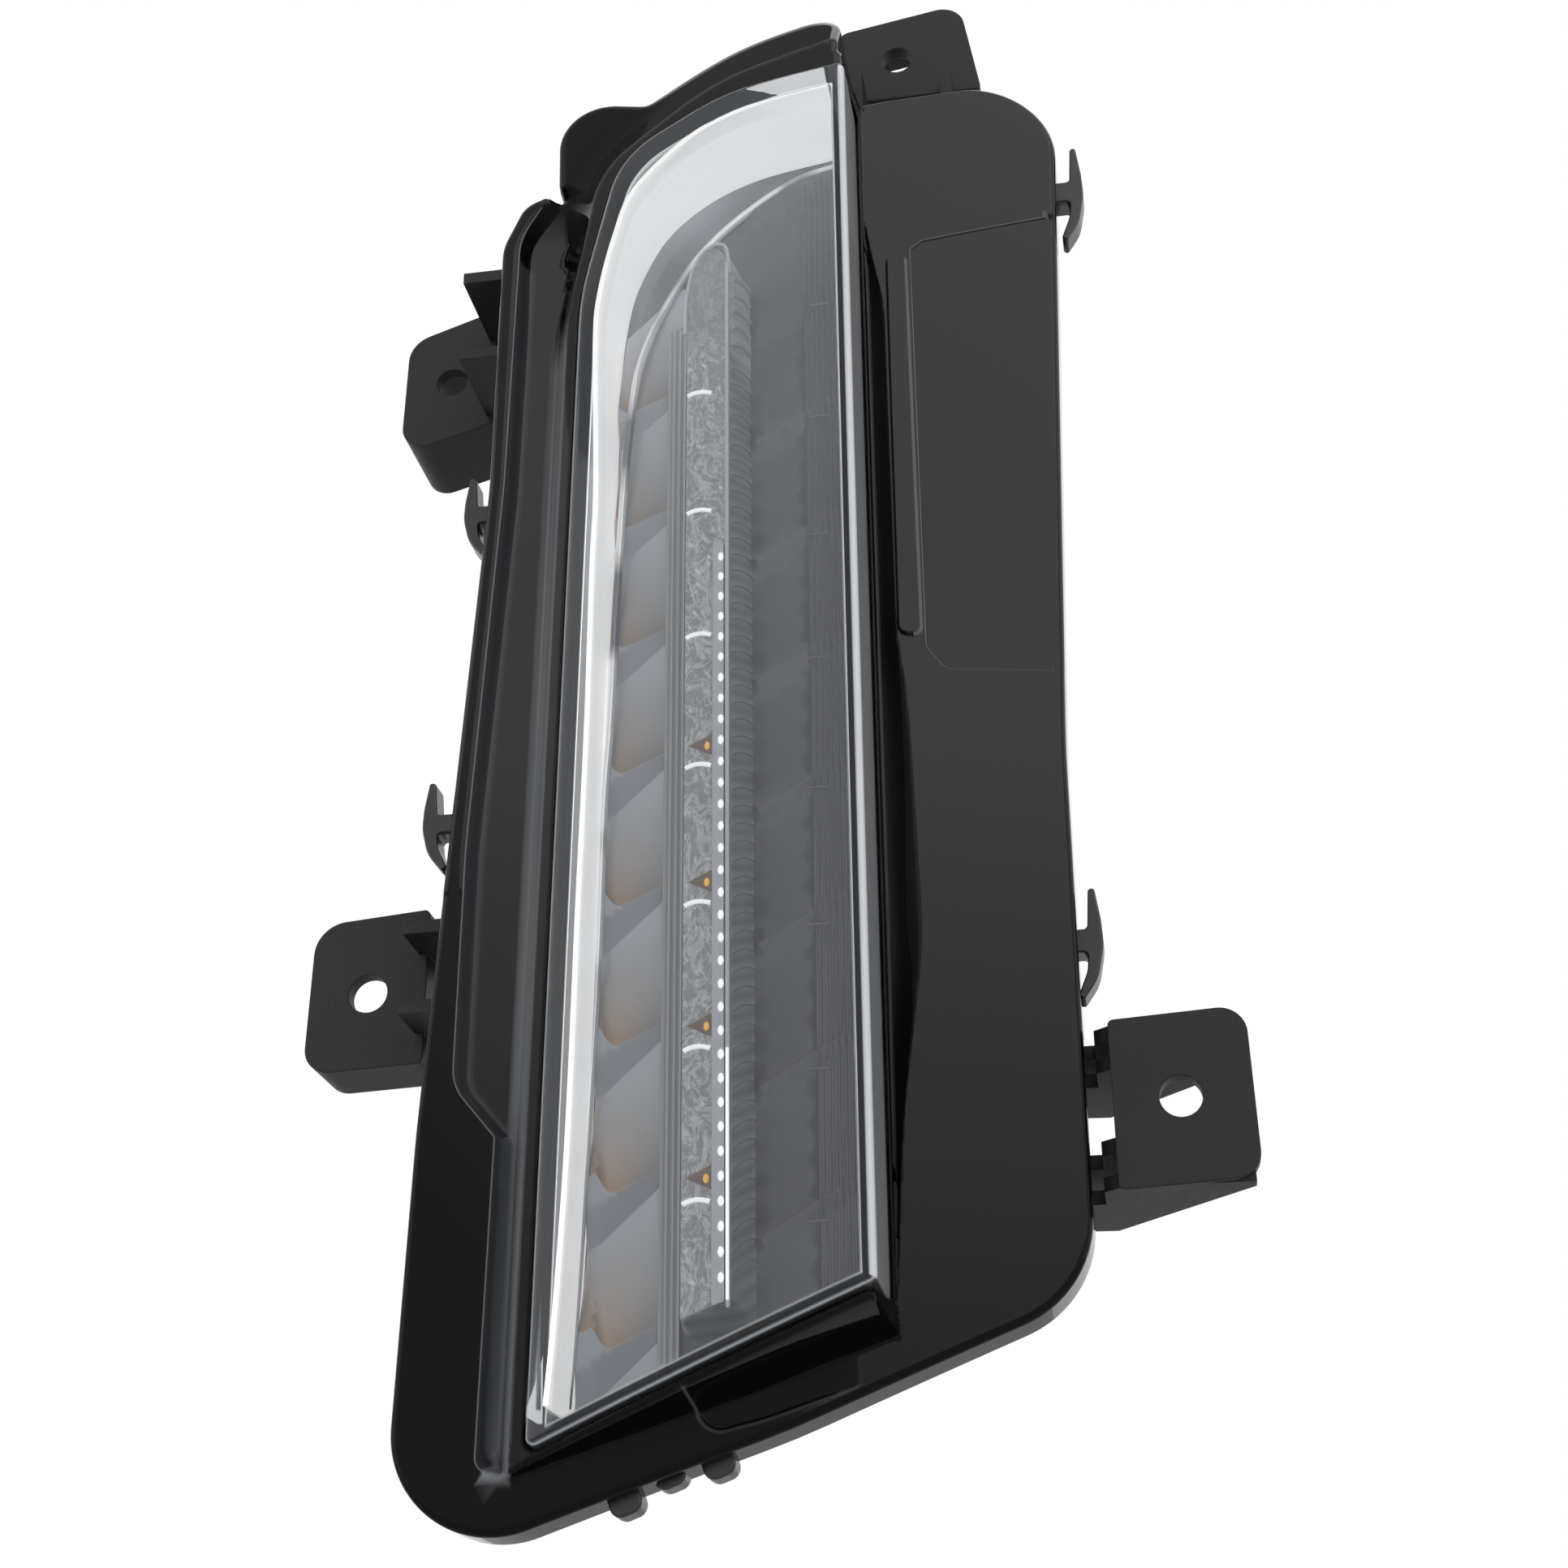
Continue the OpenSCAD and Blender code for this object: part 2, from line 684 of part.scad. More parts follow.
// The trims seat in front of the channel's bottom, on the housing's inner edge
seat_step = 8;
seat_y = channel_y - seat_step;
module white_surround() {
    color([0.88, 0.88, 0.86])
        difference() {
            intersection() {
                block(grow(lens_points, -surround_out), front_y, seat_y);
                behind_lens(lens_t + 1);
            }
            block(grow(lens_points, -surround_in), front_y - 1, far_y);
            // Open at the right and at the foot
            box(lens_right - lens_t - 2, lens_right + 5, front_y, far_y, lens_bottom, lens_top + 5);
            box(lens_left + 6, lens_right, front_y, far_y, lens_bottom - 5, 0);
        }
}
plate_t = 2;
lip_w = 1.5;
reflector_right = bar_x - bar_foot_w / 2 - 0.6;
trim_out = surround_in + 0.3;
module cell_scoops() {
    r = (cell_pitch * cell_pitch / 4 + scoop_depth * scoop_depth) / (2 * scoop_depth);
    for (i = [0:cells - 1])
        translate([reflector_right - 6, floor_y - 0.8 - r + scoop_depth, first_cell_z - i * cell_pitch])
            rotate([0, 90 - 28, 0])
                cylinder(r = r, h = 60, center = true, $fn = 120);
}
// Length of the trim screws inside their bosses
trim_hold = 7;
module trim_boss(x, z) {
    difference() {
        pin(x, z, 3, floor_y + plate_t / 2, back_y - wall);
        pin(x, z, screw_r, back_y - wall - trim_hold - 1, far_y);
    }
}
module reflector() {
    color([0.8, 0.82, 0.85])
        union() {
            difference() {
                intersection() {
                    block(grow(lens_points, -trim_out), floor_y - 2, floor_y + plate_t + 1);
                    box(lens_left, reflector_right, front_y, far_y, lens_bottom, lens_top - 30);
                }
                cell_scoops();
            }
            difference() {
                block(grow(lens_points, -trim_out), floor_y - 3, floor_y + plate_t);
                block(grow(lens_points, -trim_out - lip_w), floor_y - 4, floor_y + plate_t + 2);
                box(lens_right - lens_t - 3, lens_right + 5, front_y, far_y, lens_bottom, lens_top + 5);
                box(lens_left + 8, lens_right, front_y, far_y, lens_bottom - 5, 0);
            }
            for (z = trim_screw_left_z)
                trim_boss(trim_screw_left_x, z);
        }
}
step_h = 1.6;
module inner_steps() {
    for (i = [-1:cells])
        translate([bar_x + 15, 0, first_cell_z - i * cell_pitch])
            rotate([0, -32, 0])
                rotate([90, 0, 90])
                    translate([0, 0, -25])
                        linear_extrude(50)
                            polygon([
                                [floor_y + 0.6, -cell_pitch * 0.42],
                                [floor_y + 0.6, cell_pitch * 0.42],
                                [floor_y - step_h, -cell_pitch * 0.42]]);
}
module inner_bezel() {
    edge = bar_x + bar_foot_w / 2 + 0.4;
    color([0.3, 0.31, 0.33])
        union() {
            difference() {
                block(grow(lens_points, -trim_out - lip_w - 0.3), floor_y, floor_y + plate_t);
                box(lens_left, reflector_right + 0.3, front_y, far_y, lens_bottom - 1, lens_top - 29.7);
                box(reflector_right, edge, front_y, far_y, lens_bottom - 1, bar_top + 1);
            }
            intersection() {
                block(grow(lens_points, -trim_out - lip_w - 0.3), front_y, floor_y + 0.5);
                box(edge, lens_right, front_y, far_y, lens_bottom, lens_top - 36);
                inner_steps();
            }
            for (z = trim_screw_right_z)
                trim_boss(trim_screw_right_x, z);
        }
}

// Light bar, guide and board
bar_top = lens_top - 32;
bar_foot_z = lens_bottom + 21;
bar_round = bar_foot_w * 0.54;
module bar_section(d) {
    polygon([
        [bar_x - bar_foot_w / 2 + d, board_y + (d > 0 ? 1 : 0)],
        [bar_x + bar_foot_w / 2 - d, board_y + (d > 0 ? 1 : 0)],
        [bar_x + 3.2 - d, bar_front_y + d],
        [bar_x + 3.2 - bar_front_w + d, bar_front_y + d]]);
}
module light_bar() {
    color([0.8, 0.86, 0.92, 0.5])
        difference() {
            intersection() {
                translate([0, 0, bar_foot_z])
                    linear_extrude(bar_top - bar_foot_z)
                        bar_section(0);
                block([
                    [bar_x - bar_foot_w, bar_foot_z, 0],
                    [bar_x + bar_foot_w, bar_foot_z, 0],
                    [bar_x + bar_foot_w / 2 + 1, bar_top, bar_round],
                    [bar_x - bar_foot_w / 2 - 1, bar_top, bar_round]], front_y, far_y);
            }
            translate([0, 0, bar_foot_z + 2])
                linear_extrude(bar_top - bar_foot_z - 6)
                    bar_section(2.2);
        }
}
guide_w = 1.5;
guide_pitch = 4;
guide_z0 = bar_foot_z + 3;
guide_n = 42;
module light_guide() {
    x = bar_x + 1.6;
    y = bar_front_y - 1.6;
    color([0.95, 0.97, 1, 0.6])
        union() {
            box(x, x + guide_w, y, bar_front_y, guide_z0, guide_z0 + guide_n * guide_pitch);
            for (i = [0:guide_n - 1])
                translate([x - 0.8, 0, guide_z0 + i * guide_pitch])
                    linear_extrude(guide_pitch * 0.45)
                        polygon([[0, bar_front_y], [0, bar_front_y - 0.5], [1, y], [1, bar_front_y]]);
        }
}
board_x0 = bar_x - bar_foot_w / 2 - 0.2;
board_x1 = bar_x + bar_foot_w / 2 + 0.2;
board_z0 = bar_foot_z - 1;
board_z1 = first_cell_z + 10;
board_screw_z = [for (i = [1, 3, 5]) first_cell_z - (i + 0.5) * cell_pitch];
module led_board() {
    color([0.1, 0.35, 0.2])
        difference() {
            box(board_x0, board_x1, board_y, board_y + board_t, board_z0, board_z1);
            for (z = board_screw_z)
                pin(bar_x, z, screw_r, board_y - 1, board_y + board_t + 1);
        }
}
module led(x, z, w, lens_d) {
    box(x - w / 2, x + w / 2, board_y - 0.9, board_y, z - w / 2, z + w / 2);
    translate([x, board_y - 0.9, z])
        rotate([90, 0, 0])
            cylinder(r1 = lens_d / 2, r2 = lens_d / 4, h = 0.7, $fn = 24);
}
module white_leds() {
    color([1, 0.97, 0.8])
        for (i = [0:cells - 1])
            led(bar_x - 1.6, first_cell_z - i * cell_pitch, 2.6, 2);
}
module amber_leds() {
    color([1, 0.6, 0.1])
        for (i = [0:cells - 1])
            led(bar_x + 1.8, first_cell_z - i * cell_pitch, 2.2, 1.7);
}
module driver_chips() {
    color([0.08, 0.08, 0.08])
        for (i = [0, 2, 4, 6])
            box(bar_x - 2, bar_x + 2, board_y - 1.2, board_y,
                first_cell_z - (i + 0.5) * cell_pitch - 2.5, first_cell_z - (i + 0.5) * cell_pitch + 2.5);
}
plug_d = 8;
module board_plug() {
    color([0.9, 0.9, 0.85])
        difference() {
            box(bar_x - 6, bar_x + 6, board_y + board_t, board_y + board_t + plug_d, socket_z - 3, socket_z + 3);
            for (x = terminal_x)
                box(x - blade_w / 2 - 0.05, x + blade_w / 2 + 0.05, board_y + board_t + 2, far_y,
                    socket_z - blade_t / 2 - 0.05, socket_z + blade_t / 2 + 0.05);
        }
}
head_r = 2.9;
head_h = 2;
// Pan-head screw: the head's underside lies at y, the shank runs towards dir
module screw(x, z, y, length, dir) {
    translate([x, y, z])
        rotate([dir > 0 ? -90 : 90, 0, 0]) {
            cylinder(r = screw_r, h = length, $fn = 24);
            translate([0, 0, -head_h])
                difference() {
                    cylinder(r1 = head_r * 0.8, r2 = head_r, h = head_h, $fn = 32);
                    translate([0, 0, -0.1])
                        cylinder(r = 1.2, h = 1.3, $fn = 6);
                }
        }
}
pad_thick = 0.5;
module board_screws() {
    color([0.7, 0.7, 0.72])
        for (z = board_screw_z)
            screw(bar_x, z, board_y, 7, 1);
}
sink_front = board_y + board_t + pad_thick;
gasket_t = 1;
fin_depth = 14;
fin_t = 1.4;
fin_n = 5;
module thermal_pad() {
    color([0.75, 0.75, 0.8])
        difference() {
            box(bar_x - sink_foot_w / 2, bar_x + sink_foot_w / 2, board_y + board_t, sink_front,
                sink_z0 + 8, sink_z1 - 8);
            for (z = board_screw_z)
                pin(bar_x, z, screw_r, board_y, sink_front + 1);
        }
}
module heat_sink() {
    y0 = back_y + gasket_t;
    color([0.72, 0.73, 0.75])
        difference() {
            union() {
                box(bar_x - sink_foot_w / 2, bar_x + sink_foot_w / 2, sink_front, y0 + 1, sink_z0 + 8, sink_z1 - 8);
                box(bar_x - sink_w / 2, bar_x + sink_w / 2, y0, y0 + 3, sink_z0, sink_z1);
                for (i = [0:fin_n - 1])
                    translate([bar_x - sink_w / 2 + i * (sink_w - fin_t) / (fin_n - 1), 0, 0])
                        box(0, fin_t, y0 + 2, y0 + 3 + fin_depth, sink_z0 + 8, sink_z1 - 8);
            }
            for (z = board_screw_z)
                pin(bar_x, z, screw_r, sink_front - 1, sink_front + 8);
            for (p = sink_screw_at)
                pin(p[0], p[1], screw_r + 0.3, y0 - 1, y0 + 4);
        }
}
module heat_sink_gasket() {
    color([0.15, 0.15, 0.15])
        difference() {
            box(bar_x - sink_w / 2, bar_x + sink_w / 2, back_y, back_y + gasket_t, sink_z0, sink_z1);
            box(bar_x - sink_foot_w / 2 - window_gap, bar_x + sink_foot_w / 2 + window_gap,
                back_y - 1, back_y + gasket_t + 1, sink_z0 + 8 - window_gap, sink_z1 - 8 + window_gap);
            for (p = sink_screw_at)
                pin(p[0], p[1], screw_r + 0.3, back_y - 1, back_y + gasket_t + 1);
        }
}
module heat_sink_screws() {
    color([0.7, 0.7, 0.72])
        for (p = sink_screw_at)
            screw(p[0], p[1], back_y + gasket_t + 3, gasket_t + 3 + 6, -1);
}
module trim_screws() {
    color([0.7, 0.7, 0.72]) {
        for (z = trim_screw_left_z)
            screw(trim_screw_left_x, z, back_y, wall + trim_hold, -1);
        for (z = trim_screw_right_z)
            screw(trim_screw_right_x, z, back_y, wall + trim_hold, -1);
    }
}
module bezel_screws() {
    color([0.7, 0.7, 0.72])
        for (p = bezel_screw_at)
            screw(p[0], p[1], boss_y(p[0]) + plate_gap + pad_t, plate_gap + pad_t + 5, -1);
}

// Socket on the back
socket_flange = [36, 15];
shroud = [22, 13];
shroud_depth = 16;
shroud_t = 1.8;
blade_w = 2.8;
blade_t = 0.8;
blade_reach = shroud_depth - 3;
terminal_x = [bar_x - 4, bar_x, bar_x + 4];
module centred_box(size, z, y0, y1) {
    box(bar_x - size[0] / 2, bar_x + size[0] / 2, y0, y1, z - size[1] / 2, z + size[1] / 2);
}
module rounded_box(size, r, z, y0, y1) {
    block([
        [bar_x - size[0] / 2, z - size[1] / 2, r],
        [bar_x + size[0] / 2, z - size[1] / 2, r],
        [bar_x + size[0] / 2, z + size[1] / 2, r],
        [bar_x - size[0] / 2, z + size[1] / 2, r]], y0, y1);
}
module connector_socket() {
    y0 = back_y + gasket_t;
    color([0.1, 0.1, 0.1])
        difference() {
            union() {
                centred_box(socket_core, socket_z, back_y - wall - 4, y0 + 1);
                rounded_box(socket_flange, 3, socket_z, y0, y0 + 2.4);
                rounded_box(shroud, 2.5, socket_z, y0 + 1, y0 + 2.4 + shroud_depth);
                // Ridge that the plug's latch hooks over
                box(bar_x - 3, bar_x + 3, y0 + 10, y0 + 13, socket_z + shroud[1] / 2 - 0.5, socket_z + shroud[1] / 2 + 1.4);
            }
            rounded_box([shroud[0] - 2 * shroud_t, shroud[1] - 2 * shroud_t], 1.2, socket_z,
                y0 + 4.4, y0 + 4 + shroud_depth);
            for (x = terminal_x)
                box(x - blade_w / 2 - 0.05, x + blade_w / 2 + 0.05, back_y - 20, far_y + 5,
                    socket_z - blade_t / 2 - 0.05, socket_z + blade_t / 2 + 0.05);
            for (x = socket_screw_x)
                pin(x, socket_z, screw_r + 0.3, back_y - 1, y0 + 5);
        }
}
module socket_gasket() {
    color([0.15, 0.15, 0.15])
        difference() {
            rounded_box(socket_flange, 3, socket_z, back_y, back_y + gasket_t);
            centred_box([socket_core[0] + 0.6, socket_core[1] + 0.6], socket_z, back_y - 1, back_y + gasket_t + 1);
            for (x = socket_screw_x)
                pin(x, socket_z, screw_r + 0.3, back_y - 1, back_y + gasket_t + 1);
        }
}
module socket_terminals() {
    color([0.85, 0.7, 0.35])
        for (x = terminal_x)
            box(x - blade_w / 2, x + blade_w / 2, board_y + board_t + 3, back_y + gasket_t + blade_reach,
                socket_z - blade_t / 2, socket_z + blade_t / 2);
}
module socket_screws() {
    color([0.7, 0.7, 0.72])
        for (x = socket_screw_x)
            screw(x, socket_z, back_y + gasket_t + 2.4, gasket_t + 2.4 + 6, -1);
}

// Vent
cap_r = 6.5;
module vent_membrane() {
    color([0.95, 0.95, 0.95])
        pin(bar_x, vent_z, vent_stub_r - 0.2, back_y + vent_stub_h, back_y + vent_stub_h + 0.3);
}
module vent_cap() {
    end = back_y + vent_stub_h;
    color([0.12, 0.12, 0.12])
        difference() {
            pin(bar_x, vent_z, cap_r, back_y + 0.3, end + 3);
            pin(bar_x, vent_z, vent_stub_r + 0.05, back_y, end + 1.6);
            for (a = [0:120:240])
                translate([bar_x, end + 0.4, vent_z])
                    rotate([0, a, 0])
                        cube([cap_r + 1, 1.1, 2], center = false);
        }
}

module placed() {
    translate([-right_ear_x, -low_ear_y, -right_ear_z])
        children();
}

placed() outer_lens();
placed() lens_seal();
placed() front_bezel();
placed() rear_housing();
placed() white_surround();
placed() reflector();
placed() inner_bezel();
placed() light_bar();
placed() light_guide();
placed() white_leds();
placed() amber_leds();
placed() led_board();
placed() driver_chips();
placed() board_plug();
placed() board_screws();
placed() thermal_pad();
placed() heat_sink();
placed() heat_sink_gasket();
placed() heat_sink_screws();
placed() trim_screws();
placed() bezel_screws();
placed() connector_socket();
placed() socket_gasket();
placed() socket_terminals();
placed() socket_screws();
placed() vent_membrane();
placed() vent_cap();
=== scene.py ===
"""Daytime running light: the visual model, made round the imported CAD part.

Lengths in this file are millimetres from the middle of the lamp: X right, Z up, the front faces -Y.
Mesh making turns them into the row frame, in metres, where the right ear's hole is the origin.
"""

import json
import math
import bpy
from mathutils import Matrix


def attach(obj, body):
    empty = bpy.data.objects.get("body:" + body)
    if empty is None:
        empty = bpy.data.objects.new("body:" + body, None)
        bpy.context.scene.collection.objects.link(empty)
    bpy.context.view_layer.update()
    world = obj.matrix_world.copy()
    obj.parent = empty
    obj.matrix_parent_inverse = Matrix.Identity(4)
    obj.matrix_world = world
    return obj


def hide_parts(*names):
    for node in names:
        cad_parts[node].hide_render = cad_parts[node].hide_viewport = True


bl_info = {
    "name": "Daytime running light",
    "version": (1, 0, 0),
    "blender": (4, 5, 0),
    "location": "3D View > Sidebar > Lamp",
    "description": "Makes the visual model of a daytime running light round its CAD frame",
    "category": "Object",
}

import bmesh
import bpy
import numpy as np
from bpy.props import FloatProperty, FloatVectorProperty, PointerProperty
from bpy.types import Operator, Panel, PropertyGroup
from mathutils import Matrix, Vector
from mathutils.geometry import delaunay_2d_cdt

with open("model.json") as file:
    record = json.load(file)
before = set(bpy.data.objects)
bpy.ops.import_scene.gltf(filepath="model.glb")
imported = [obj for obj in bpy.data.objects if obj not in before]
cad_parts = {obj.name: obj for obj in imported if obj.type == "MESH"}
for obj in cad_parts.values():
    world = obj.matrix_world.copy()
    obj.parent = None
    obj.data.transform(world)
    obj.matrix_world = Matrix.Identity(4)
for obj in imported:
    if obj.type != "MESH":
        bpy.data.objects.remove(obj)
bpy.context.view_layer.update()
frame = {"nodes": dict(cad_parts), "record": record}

EAR_HOLE = np.array([62.2, 14.0, -54.7])
MM = 0.001

# Outlines, as in the part's source: corners [x, z, radius], anticlockwise seen from the front
BEZEL = [
    (-61.8, -129.5, 16), (-0.6, -107.2, 150), (46.8, -86, 20), (47.6, 9.5, 250), (54.2, 159.5, 15),
    (13.8, 149.2, 1), (13.8, 167.6, 7), (-5, 163.6, 30), (-25.5, 149.2, 4), (-42.6, 150.2, 10.5),
    (-42.2, 129, 1), (-48.8, 124.8, 6), (-52.5, 115.6, 12), (-52.9, 60.5, 150), (-59.8, -59.5, 200)]
LENS = [
    (-39.5, -110.8, 1.5), (15, -88.3, 1.5), (15, 146, 1.5), (-8, 142.2, 40), (-29, 131, 18),
    (-36.3, 100, 60)]
RIM_LEFT_AND_TOP = [
    (-45.2, -220, 0), (200, -220, 0), (200, 207, 0), (-10, 145.5, 45), (-32.5, 129.5, 18),
    (-39, 98, 60), (-42.5, -113.8, 0)]
POCKET = [
    (-42, -113.4, 1), (-37.1, 98, 0), (-33, 125, 0), (-41.5, 130.5, 2), (-48.6, 117, 14),
    (-49.6, 62, 100), (-53.3, -10, 150), (-53.6, -51.8, 8), (-46.4, -60.6, 1.5), (-47.4, -112.4, 2)]
PANEL = [
    (24.4, 28, 3), (27.7, 23.6, 3), (66.8, 24.4, 0), (66.8, 129, 0), (26.7, 116.8, 1),
    (24.4, 114.6, 1)]
STRIP = [(19.6, 29.8, 2), (24.2, 29.8, 2), (24, 112.2, 0.5), (19.8, 112.2, 0.5)]
FOOT_PANEL = [(-16.8, -96, 1), (-13.9, -108.8, 4), (-4, -106.2, 3), (60, -84, 0), (60, -60, 0)]

FACE_R, FACE_X, FACE_Y = 600.0, -114.0, -9.0
LENS_R, LENS_X, LENS_Y = 300.0, 8.0, -12.0
LENS_GAP = 0.4
SKIN_T = 2.2
LINE_JOIN = 2.6


def unit(v):
    return v / np.linalg.norm(v)


def unit_rows(v):
    return v / np.linalg.norm(v, axis=1)[:, None]


def in_space(flat, y=0.0):
    """Flat points or directions (x, z) as points or directions in space, at the given y."""
    return np.stack([flat[:, 0], np.broadcast_to(y, len(flat)), flat[:, 1]], axis=1)


def rounded(corners, step=4.0):
    """The outline's points, with an arc at each corner."""
    points = []
    count = len(corners)
    for i, (x, z, radius) in enumerate(corners):
        here = np.array([x, z], float)
        if radius < 0.01:
            points.append(here)
            continue
        before = unit(np.array(corners[i - 1][:2], float) - here)
        after = unit(np.array(corners[(i + 1) % count][:2], float) - here)
        half = math.acos(float(np.clip(before @ after, -1, 1))) / 2
        centre = here + unit(before + after) * radius / math.sin(half)
        reach = radius / math.tan(half)
        start, end = here + before * reach - centre, here + after * reach - centre
        first = math.atan2(start[1], start[0])
        sweep = math.remainder(math.atan2(end[1], end[0]) - first, 2 * math.pi)
        steps = max(2, math.ceil(abs(math.degrees(sweep)) / step))
        for k in range(steps + 1):
            a = first + sweep * k / steps
            points.append(centre + radius * np.array([math.cos(a), math.sin(a)]))
    return np.array(points)


def grown(corners, d):
    """The same outline moved outward by d."""
    out = []
    count = len(corners)
    for i, (x, z, radius) in enumerate(corners):
        here = np.array([x, z], float)
        u = unit(here - np.array(corners[i - 1][:2], float))
        v = unit(np.array(corners[(i + 1) % count][:2], float) - here)
        m = np.array([u[1] + v[1], -u[0] - v[0]]) / (1 + u @ v)
        bend = d if u[0] * v[1] - u[1] * v[0] > 0 else -d
        out.append((*(here + m * d), 0 if radius < 0.01 else max(0.2, radius + bend)))
    return out


def spaced(loop, gap):
    """A closed line with no stretch longer than gap."""
    out = []
    for a, b in zip(loop, np.roll(loop, -1, axis=0)):
        steps = max(1, math.ceil(float(np.linalg.norm(b - a)) / gap))
        out += [a + (b - a) * k / steps for k in range(steps)]
    return np.array(out)


def inside_distance(points, loop):
    """How far each point lies inside a closed line; negative outside it."""
    a, b = loop, np.roll(loop, -1, axis=0)
    ab = b - a
    length2 = np.maximum((ab * ab).sum(1), 1e-12)
    rise = np.where(np.abs(ab[:, 1]) < 1e-12, 1e-12, ab[:, 1])
    out = np.empty(len(points))
    for i in range(0, len(points), 3000):
        p = points[i:i + 3000, None, :]
        t = np.clip(((p - a) * ab).sum(-1) / length2, 0, 1)
        near = p - a - t[..., None] * ab
        d = np.sqrt((near * near).sum(-1).min(1))
        straddles = (a[:, 1] > p[..., 1]) != (b[:, 1] > p[..., 1])
        crosses = straddles & (p[..., 0] < ab[:, 0] * (p[..., 1] - a[:, 1]) / rise + a[:, 0])
        out[i:i + 3000] = np.where(crosses.sum(1) % 2 == 1, d, -d)
    return out


def distance_to(points, line):
    """How far each point lies from the nearest point of a line."""
    out = np.empty(len(points))
    for i in range(0, len(points), 3000):
        apart = points[i:i + 3000, None, :] - line
        out[i:i + 3000] = np.sqrt((apart * apart).sum(-1).min(1))
    return out


def open_line(points, gap):
    """A line through the given points with no stretch longer than gap."""
    out = []
    for a, b in zip(points[:-1], points[1:]):
        a, b = np.array(a, float), np.array(b, float)
        steps = max(1, math.ceil(float(np.linalg.norm(b - a)) / gap))
        out += [a + (b - a) * k / steps for k in range(steps)]
    return np.array(out + [np.array(points[-1], float)])


def face(x):
    return FACE_Y + FACE_R - np.sqrt(FACE_R ** 2 - (x - FACE_X) ** 2)


def lens_front(x):
    return LENS_Y + LENS_R - np.sqrt(LENS_R ** 2 - (x - LENS_X) ** 2)


def ramp(t):
    t = np.clip(t, 0, 1)
    return t * t * (3 - 2 * t)


def smooth_min(a, b, k):
    h = np.clip(0.5 + 0.5 * (b - a) / k, 0, 1)
    return b * (1 - h) + a * h - k * h * (1 - h)


def smooth_max(a, b, k):
    return -smooth_min(-a, -b, k)


def eased(s, round_off):
    """s where it is positive and 0 where it is negative, with a soft corner."""
    return (s + np.sqrt(s * s + round_off ** 2)) / 2


def outward(loop):
    """Unit normals of an anticlockwise closed line, pointing out."""
    d = np.roll(loop, -1, axis=0) - np.roll(loop, 1, axis=0)
    n = np.stack([d[:, 1], -d[:, 0]], axis=1)
    return n / np.linalg.norm(n, axis=1)[:, None]


class Skin:
    """Collects points, their normals and faces, and makes one smooth mesh of them."""

    def __init__(self):
        self.points, self.normals, self.faces, self.marks = [], [], [], []
        self.count = 0

    def add(self, points, normals=None, mark=0.0):
        """Adds points (mm) and gives the number of the first."""
        points = np.asarray(points, float)
        if normals is None:
            normals = np.full(points.shape, np.nan)
        self.points.append(points)
        self.normals.append(np.asarray(normals, float))
        self.marks.append(np.broadcast_to(np.asarray(mark, float), len(points)))
        first = self.count
        self.count += len(points)
        return first

    def bridge(self, a, b, count, flip=False):
        """Quads between two closed rings of count points each."""
        for i in range(count):
            j = (i + 1) % count
            quad = [a + i, a + j, b + j, b + i]
            self.faces.append(quad[::-1] if flip else quad)

    def mesh(self, name):
        points = np.vstack(self.points)
        given = np.vstack(self.normals)
        faces = self.faces
        summed = np.zeros_like(points)
        for f in faces:
            p = points[f]
            n = np.cross(p[1] - p[0], p[2] - p[0])
            if len(f) == 4:
                n = n + np.cross(p[2] - p[0], p[3] - p[0])
            summed[f] += n
        length = np.linalg.norm(summed, axis=1)
        summed /= np.maximum(length, 1e-12)[:, None]
        normals = np.where(np.isnan(given), summed, given)
        mesh = bpy.data.meshes.new(name)
        mesh.from_pydata((points - EAR_HOLE) * MM, [], faces)
        mark = mesh.attributes.new("mark", "FLOAT", "POINT")
        mark.data.foreach_set("value", np.concatenate(self.marks).astype(np.float32))
        mesh.polygons.foreach_set("use_smooth", [True] * len(mesh.polygons))
        mesh.normals_split_custom_set_from_vertices(normals.tolist())
        mesh.update()
        return mesh


def surface_points(flat, height):
    """Points of the surface y = height(x, z) over flat points, with their normals to the front."""
    e = 0.02
    y = height(flat)
    dx = (height(flat + [e, 0]) - height(flat - [e, 0])) / (2 * e)
    dz = (height(flat + [0, e]) - height(flat - [0, e])) / (2 * e)
    return in_space(flat, y), unit_rows(in_space(np.stack([dx, dz], axis=1), -1.0))


